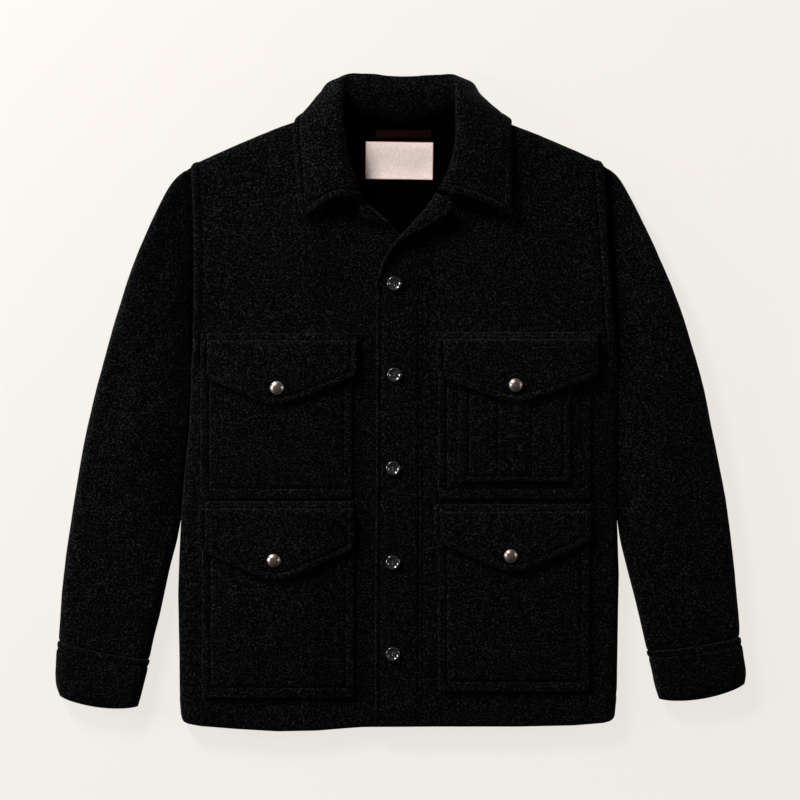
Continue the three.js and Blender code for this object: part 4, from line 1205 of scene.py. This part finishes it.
def rectangle_plan(box, step, columns=(), rows=()):
    """A grid over a rectangle, finer at its edges and where its stitching runs."""
    xs = edged(box["left"], box["right"], step, stitches=[box["left"] + c for c in columns])
    ys = edged(box["bottom"], box["top"], step, stitches=[box["bottom"] + r for r in rows])
    return np.stack(np.meshgrid(xs, ys, indexing="ij"), axis=-1)


def rectangle_lines(box, side, bottom):
    """Stitch lines down both sides of a rectangle and along its bottom."""
    left, right, top = box["left"] + side, box["right"] - side, box["top"]
    low = box["bottom"] + bottom
    return [[(left, top), (left, low)], [(right, top), (right, low)], [(left, low), (right, low)]]


CORNER_REACH = 4  # reach of a rounded corner, in its radii
CORNER_PULL = 0.45


def round_corners(plan, box, radius=3.0):
    """Rounds a rectangle's lower corners a little."""
    x, y = plan[..., 0].copy(), plan[..., 1].copy()
    for edge, way in ((box["left"], 1), (box["right"], -1)):
        near = smooth(1 - np.hypot(way * (x - edge), y - box["bottom"]) / (CORNER_REACH * radius))
        x += way * near * radius * CORNER_PULL
        y += near * radius * CORNER_PULL
    return np.stack([x, y], axis=-1)


POCKET_STEP = 3.2
POCKET_UNEVEN = 0.35
for name, pocket in POCKET.items():
    width = pocket["right"] - pocket["left"]
    columns = (POCKET_STITCH["side"], width - POCKET_STITCH["side"])
    plan = round_corners(rectangle_plan(pocket, POCKET_STEP, columns, (POCKET_STITCH["bottom"],)), pocket)
    px, py = plan[..., 0], plan[..., 1]
    field = line_field(rectangle_lines(pocket, POCKET_STITCH["side"], POCKET_STITCH["bottom"]), px, py)
    relief = trough(field, *STITCH) + POCKET_UNEVEN * unevenness(px, py, SHIFT["pocket"])
    patch(f"cloth_pocket_{name}", f"pocket_{name}", plan, lambda x, y, p=pocket: pocket_base(p, x, y),
          CLOTH, WOOL, relief, field)


def on_pocket(pocket, x, y):
    return pocket_base(pocket, x, y) + CLOTH + LAY_GAP


UTILITY = {"left": 73, "right": 212, "top": 42, "bottom": -100.5}
UTILITY_CLOTH = 2.4
UTILITY_COLUMNS = (12, 48.5, 91, 130.5)
UTILITY_LOW = 7  # its lowest stitching, up from its bottom and in from its sides
UTILITY_STITCH = (2.0, 1.2)
UTILITY_UNEVEN = 0.3
UTILITY_ROUND = 1.2
plan = round_corners(rectangle_plan(UTILITY, 2.6, UTILITY_COLUMNS, (UTILITY_LOW,)), UTILITY, 2.0)
px, py = plan[..., 0], plan[..., 1]
left, right, low = UTILITY["left"], UTILITY["right"], UTILITY["bottom"] + UTILITY_LOW
lines = [[(left + at, UTILITY["top"]), (left + at, low)] for at in UTILITY_COLUMNS]
field = line_field([*lines, [(left + UTILITY_LOW, low), (right - UTILITY_LOW, low)]], px, py)
relief = trough(field, *UTILITY_STITCH) + UTILITY_UNEVEN * unevenness(px, py, SHIFT["utility"])
patch("cloth_pocket_utility", "pocket_utility", plan, lambda x, y: on_pocket(POCKET["chest_left"], x, y),
      UTILITY_CLOTH, WOOL, relief, field, UTILITY_ROUND)

FLAP = {
    "chest_right": {"left": -249.5, "right": -54.5, "top": 85, "corner": 33, "tipX": -154, "tip": -3.5,
                    "rest": 0.3},
    "chest_left": {"left": 45.5, "right": 246.5, "top": 86.5, "corner": 32.5, "tipX": 145.5, "tip": 0.5,
                   "rest": 3.2},
    "lower_right": {"left": -252, "right": -59, "top": -125, "corner": -184, "tipX": -155.5, "tip": -222,
                    "rest": 0.3},
    "lower_left": {"left": 42.5, "right": 238, "top": -129, "corner": -172.5, "tipX": 141.5, "tip": -212,
                   "rest": 0.3},
}
TIP_ROUND = 14
CORNER_ROUND = 7
TIP_LIFT = 1.6
FLAP_ATTACH = 13
LIFT_ABOVE_CORNER = 20
DROP_REACH = 14
DROP_RUN = 10
DROP_REST = 0.35
FLAP_TOP_STITCH = 8.5
FLAP_EDGE_STITCH = 7.5
# Grid rows of a flap, up from its lower edge and down from its top; the rest are spaced evenly between
FLAP_LOW_ROWS = (*EDGE_STEPS, 4.5, 5.8, 6.8, 7.7, 8.6, 9.6, 11.0, 13.0)
FLAP_TOP_ROWS = (*EDGE_STEPS, 4.5, 5.8, 7.0, 8.0, 9.0, 10.2, 12.0)
FLAP_ROWS = 16


def flap_lower(flap, x):
    half = np.where(x < flap["tipX"], flap["tipX"] - flap["left"], flap["right"] - flap["tipX"])
    reach = np.hypot(x - flap["tipX"], TIP_ROUND) - TIP_ROUND
    full = np.hypot(half, TIP_ROUND) - TIP_ROUND
    from_side = np.minimum(x - flap["left"], flap["right"] - x)
    in_corner = np.maximum(0, CORNER_ROUND - from_side)
    cut = CORNER_ROUND - np.sqrt(np.maximum(0, CORNER_ROUND ** 2 - in_corner ** 2))
    return mix(flap["tip"], flap["corner"], reach / full) + cut


def flap_base(name, x, y):
    flap, pocket = FLAP[name], POCKET[name]
    on_front = front_height(pocket["side"], x, y) + LAY_GAP
    over = on_pocket(pocket, x, np.minimum(y, pocket["top"])) + flap["rest"]
    lift_from = flap["corner"] + LIFT_ABOVE_CORNER
    lift = TIP_LIFT * smooth((lift_from - y) / (lift_from - flap["tip"]))
    inside = smooth((x - pocket["left"] + DROP_REACH) / DROP_RUN)
    inside = inside * smooth((pocket["right"] + DROP_REACH - x) / DROP_RUN)
    share = smooth((flap["top"] - y) / FLAP_ATTACH) * np.maximum(DROP_REST, inside)
    return mix(on_front, over, share) + lift


def flap_plan(flap):
    stitches = (flap["left"] + FLAP_EDGE_STITCH, flap["right"] - FLAP_EDGE_STITCH)
    xs = edged(flap["left"], flap["right"], 3.0, (*EDGE_STEPS, 4.2), stitches)
    low = flap_lower(flap, xs)
    rising = np.array(FLAP_LOW_ROWS)
    falling = flap["top"] - np.array(FLAP_TOP_ROWS)
    between = np.linspace(0, 1, FLAP_ROWS)[1:-1]
    start, end = low + rising[-1], falling[-1]
    middle = start[:, None] + (end - start)[:, None] * between
    top = np.repeat(falling[None, ::-1], len(xs), axis=0)
    y = np.concatenate([low[:, None] + rising, middle, top], axis=1)
    return np.stack([np.repeat(xs[:, None], y.shape[1], axis=1), y], axis=-1)


# The soft wave in a flap's free part: where each starts, its height, length and lowest point
FLAP_WAVES = {"chest_right": 0.4, "chest_left": 1.7, "lower_right": 2.9, "lower_left": 4.2}
WAVE_HEIGHT = 0.5
WAVE_LENGTH = 26
WAVE_LOWEST = -0.2
HANG_RUN = 30
for name, flap in FLAP.items():
    plan = flap_plan(flap)
    px, py = plan[..., 0], plan[..., 1]
    xs = np.linspace(flap["left"] + FLAP_EDGE_STITCH, flap["right"] - FLAP_EDGE_STITCH, 60)
    lower = np.stack([xs, flap_lower(flap, xs) + FLAP_EDGE_STITCH * 1.03], axis=1)
    high = flap["top"] - FLAP_TOP_STITCH
    sides = [[(x, y), (x, flap["top"] - 1)] for x, y in (lower[0], lower[-1])]
    field = line_field([lower, *sides, [(flap["left"] + 1, high), (flap["right"] - 1, high)]], px, py)
    hang = smooth((flap["top"] - FLAP_ATTACH - py) / HANG_RUN)
    wave = WAVE_HEIGHT * np.sin((px - flap["left"]) / WAVE_LENGTH + FLAP_WAVES[name]) * hang
    wave = np.maximum(WAVE_LOWEST, wave)
    patch(f"cloth_flap_{name}", f"flap_{name}", plan, lambda x, y, n=name, w=wave: flap_base(n, x, y) + w,
          CLOTH, WOOL, trough(field, *STITCH), field)


# Buttons, snaps, label, loop

def polar_object(name, profile, centre, material, sides, height_at=None):
    """A turned piece from [radius, height] rows, closed at both ends."""
    radii, heights = np.array(profile, float).T
    angle = np.linspace(0, 2 * math.pi, sides, endpoint=False)
    x, y = radii[:, None] * np.cos(angle), radii[:, None] * np.sin(angle)
    z = np.repeat(heights[:, None], sides, axis=1)
    if height_at is not None:
        z = z + height_at(x, y, np.repeat(radii[:, None], sides, axis=1))
    points = np.stack([x, y, z], axis=-1).reshape(-1, 3) + np.array(centre)
    faces = []
    for i in range(len(radii) - 1):
        for j in range(sides):
            k = (j + 1) % sides
            faces.append((i * sides + j, i * sides + k, (i + 1) * sides + k, (i + 1) * sides + j))
    faces.append(list(range(sides))[::-1])
    faces.append([(len(radii) - 1) * sides + j for j in range(sides)])
    return make_object(name, points, faces, material)


BUTTON_PLACES = [(-7.5, 147.5), (-7.5, 33.5), (-9, -83.5), (-9.5, -201.5), (-9.5, -316)]
BUTTON_GAP = 0.7
HOLE_R = 1.15
HOLE_SPREAD = 1.9
BUTTON_TURNS = (8, -14, 21, 3, -9)


def button_profile():
    """Rows from the middle of the underside over the rim to the middle of the well."""
    under = [(0.6, 0.0), (6.2, 0.0), (7.6, 0.45), (8.5, 1.1), (8.9, 1.9), (8.85, 2.5), (8.5, 3.0), (7.9, 3.2),
             (7.2, 3.15), (6.6, 2.95), (6.1, 2.6), (5.7, 2.2), (5.2, 1.95)]
    inner = [(r, 1.9) for r in np.arange(4.9, 0.15, -0.22)]
    return under + inner


HOLE_DEPTH = 1.5
HOLE_EDGE = 0.4
WELL_R = 5.0  # the holes lie within this radius
THREAD_R = 0.3
THREAD_SPREAD = 0.28
THREAD_LOW = 1.35
THREAD_ARCH = 0.85
THREAD_SIDES = 6
THREAD_STEPS = 8


def holes_height(holes):
    """How a button's height drops at its holes, as a function for polar_object."""
    def height_at(x, y, r):
        depth = np.zeros_like(x)
        for hx, hy in holes:
            near = np.hypot(x - hx, y - hy)
            depth = np.minimum(depth, -HOLE_DEPTH * smooth((HOLE_R - near) / HOLE_EDGE))
        return np.where(r < WELL_R, depth, 0)
    return height_at


def button_threads(holes, base):
    """Two pairs of sewing threads between a button's holes, each an arched tube."""
    points, faces = [], []
    for first, second in ((0, 1), (2, 3)):
        (x0, y0), (x1, y1) = holes[first], holes[second]
        run = np.array([x1 - x0, y1 - y0])
        run /= np.linalg.norm(run)
        across = np.array([-run[1], run[0], 0])
        for off in (-THREAD_SPREAD, THREAD_SPREAD):
            start = len(points)
            for t in np.linspace(0, 1, THREAD_STEPS + 1):
                arch = THREAD_LOW + THREAD_ARCH * math.sin(math.pi * t)
                centre = base + across * off + np.array([mix(x0, x1, t), mix(y0, y1, t), arch])
                for q in range(THREAD_SIDES):
                    a = 2 * math.pi * q / THREAD_SIDES
                    points.append(centre + THREAD_R * (across * math.cos(a) + np.array([0, 0, math.sin(a)])))
            for i in range(THREAD_STEPS):
                for q in range(THREAD_SIDES):
                    a, b = (start + i * THREAD_SIDES + k % THREAD_SIDES for k in (q, q + 1))
                    faces.append([a, b, b + THREAD_SIDES, a + THREAD_SIDES])
    return points, faces


for k, ((bx, by), turn) in enumerate(zip(BUTTON_PLACES, BUTTON_TURNS), start=1):
    base_z = float(front_height("left", np.array(float(bx)), np.array(float(by)))) + BUTTON_GAP
    base = np.array([bx, by, base_z])
    turns = [math.radians(45 + turn) + q * math.pi / 2 for q in range(4)]
    holes = [(HOLE_SPREAD * math.cos(a), HOLE_SPREAD * math.sin(a)) for a in turns]
    button = polar_object(f"button_form_{k}", button_profile(), base, BUTTON_PLASTIC, 72, holes_height(holes))
    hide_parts(f"button_{k}")
    make_object(f"button_thread_{k}", *button_threads(holes, base), THREAD)

SNAP_PLACES = {"chest_right": (-154, 17), "chest_left": (143.5, 20.5), "lower_right": (-158, -198.5),
               "lower_left": (137.5, -192.5)}
SNAP_GAP = 0.3
SNAP_SINK = 0.4
SNAP_PROFILE = [(0.5, 0), (7.0, 0), (7.9, 0.15), (SNAP_R, 0.6), (8.25, 1.0), (7.9, 1.35), (7.4, 1.45),
                (7.0, 1.6), (6.5, 2.15), (5.6, 2.85), (4.6, 3.35), (3.4, 3.72), (2.2, 3.92), (1.1, 4.0),
                (0.3, 4.02)]
for name, (sx, sy) in SNAP_PLACES.items():
    high = [flap_base(name, np.array(sx + a * SNAP_R), np.array(sy + b * SNAP_R))
            for a, b in ((-1, 0), (1, 0), (0, -1), (0, 1), (0, 0))]
    z = float(max(high)) + CLOTH + SNAP_GAP
    snap = polar_object(f"snap_form_{name}", SNAP_PROFILE, (sx, sy, z - SNAP_SINK), SNAP_METAL, 56)
    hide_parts(f"snap_{name}")


def inside_back(x, y):
    """Height of what lies on the inside of the back."""
    return back_face(x, y)[0][..., 2] + CLOTH + LAY_GAP + SEAM_GAP


LABEL = {"left": -43.9, "right": 41.1, "top": 325.8, "bottom": 278.8}
LABEL_TURN = math.radians(-0.8)
LABEL_ROUND = 0.4
LOOP = {"left": -31, "right": 39, "top": 340, "bottom": 330.5}
LOOP_ARCH = 2
LOOP_ROUND = 0.5
flat = rectangle_plan(LABEL, 1.4)
centre_x, centre_y = (LABEL["left"] + LABEL["right"]) / 2, (LABEL["bottom"] + LABEL["top"]) / 2
to_edge = np.minimum(np.minimum(flat[..., 0] - LABEL["left"], LABEL["right"] - flat[..., 0]),
                     np.minimum(flat[..., 1] - LABEL["bottom"], LABEL["top"] - flat[..., 1]))
from_x, from_y = flat[..., 0] - centre_x, flat[..., 1] - centre_y
px = centre_x + from_x * math.cos(LABEL_TURN) - from_y * math.sin(LABEL_TURN)
py = centre_y + from_x * math.sin(LABEL_TURN) + from_y * math.cos(LABEL_TURN)
plan = np.stack([px, py], axis=-1)
RIPPLE = 0.25
ripple = RIPPLE * np.sin(px / 9.0 + 0.6) * np.sin((py - 278.5) / 15)
patch("cloth_label", "label", plan, inside_back, LABEL_THICK, LABEL_CLOTH, ripple, to_edge,
      LABEL_ROUND)


def loop_base(x, y):
    share = clamp01((x - LOOP["left"]) / (LOOP["right"] - LOOP["left"]))
    return inside_back(x, y) + LOOP_ARCH * np.sin(math.pi * share)


patch("cloth_hanger_loop", "hanger_loop", rectangle_plan(LOOP, 1.6), loop_base, TAPE_THICK, TAPE,
      radius=LOOP_ROUND)


# Stage, light, camera

FLOOR_GLOW = 0.885
floor_mesh = bpy.data.meshes.new("floor")
floor_mesh.from_pydata([(-4, -4, 0), (4, -4, 0), (4, 4, 0), (-4, 4, 0)], [], [(0, 1, 2, 3)])
floor = bpy.data.objects.new("floor", floor_mesh)
bpy.context.scene.collection.objects.link(floor)
floor_surface = Shading("floor", {"Base Color": (0.07, 0.068, 0.064), "Emission Color": (0.887, 0.855, 0.799),
                                  "Emission Strength": FLOOR_GLOW, "Roughness": 0.9})
floor_mesh.materials.append(floor_surface.material)

# The cut of each piece of cloth in metres, before it was sewn, as far as it shows
CUTS = [
    # piece, width, length, area where it isn't a rectangle, how it is held, what it lies on
    ("back", 0.555, 0.785, 0.405, "laid", ["floor"]),
    ("front_right", 0.315, 0.785, 0.212, "laid", ["back"]),
    ("front_left", 0.315, 0.780, 0.213, "laid", ["back"]),
    ("sleeve_right", 0.500, 0.440, 0.135, "folded", ["floor"]),
    ("sleeve_left", 0.500, 0.430, 0.128, "folded", ["floor"]),
    ("cuff_right", 0.265, 0.064, 0.0162, "folded", ["floor"]),
    ("cuff_left", 0.265, 0.064, 0.0162, "folded", ["floor"]),
    ("collar", 0.560, 0.125, 0.0490, "folded", ["back", "front_right", "front_left"]),
    ("lapel_right", 0.045, 0.026, 0.0008, "folded", ["front_right"]),
    ("lapel_left", 0.160, 0.030, 0.0028, "folded", ["front_left"]),
    ("pocket_chest_right", 0.192, 0.196, None, "laid", ["front_right"]),
    ("pocket_chest_left", 0.192, 0.198, None, "laid", ["front_left"]),
    ("pocket_lower_right", 0.193, 0.234, None, "laid", ["front_right"]),
    ("pocket_lower_left", 0.191, 0.224, None, "laid", ["front_left"]),
    ("pocket_utility", 0.139, 0.143, None, "laid", ["pocket_chest_left"]),
    ("flap_chest_right", 0.196, 0.089, 0.0147, "laid", ["pocket_chest_right"]),
    ("flap_chest_left", 0.202, 0.087, 0.0153, "laid", ["pocket_chest_left"]),
    ("flap_lower_right", 0.194, 0.098, 0.0161, "laid", ["pocket_lower_right"]),
    ("flap_lower_left", 0.196, 0.084, 0.0134, "laid", ["pocket_lower_left"]),
    ("label", 0.085, 0.047, None, "laid", ["back"]),
    ("hanger_loop", 0.070, 0.010, None, "laid", ["back"]),
]
for name, width, length, area, held, lies_on in CUTS:
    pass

world = bpy.data.worlds.new("studio")
bpy.context.scene.world = world
world.use_nodes = True
background = world.node_tree.nodes["Background"]
background.inputs["Color"].default_value = (1.0, 0.995, 0.985, 1)
background.inputs["Strength"].default_value = 0.10


# Round lights aimed at the middle of the jacket
LIGHTS = [
    # name, place, size, power
    ("key", (-1.6, 2.25, 1.25), 0.8, 190),
    ("side", (-2.6, 0.3, 0.5), 0.9, 110),
    ("rim", (2.6, 0.3, 0.4), 0.8, 45),
]
for name, place, size, power in LIGHTS:
    light = bpy.data.lights.new(name, "AREA")
    light.shape = "DISK"
    light.size = size
    light.energy = power
    obj = bpy.data.objects.new(name, light)
    obj.location = place
    obj.rotation_mode = "QUATERNION"
    obj.rotation_quaternion = (-Vector(place)).to_track_quat("-Z", "Y")
    bpy.context.scene.collection.objects.link(obj)

camera_data = bpy.data.cameras.new("camera")
camera_data.sensor_width = 36
camera_data.lens = 108
camera = bpy.data.objects.new("camera", camera_data)
camera.location = (-0.0006, 0.0019, 3.02)
camera.rotation_euler = (0, 0, 0)
bpy.context.scene.collection.objects.link(camera)
bpy.context.scene.camera = camera
bpy.context.scene.view_settings.view_transform = "Standard"
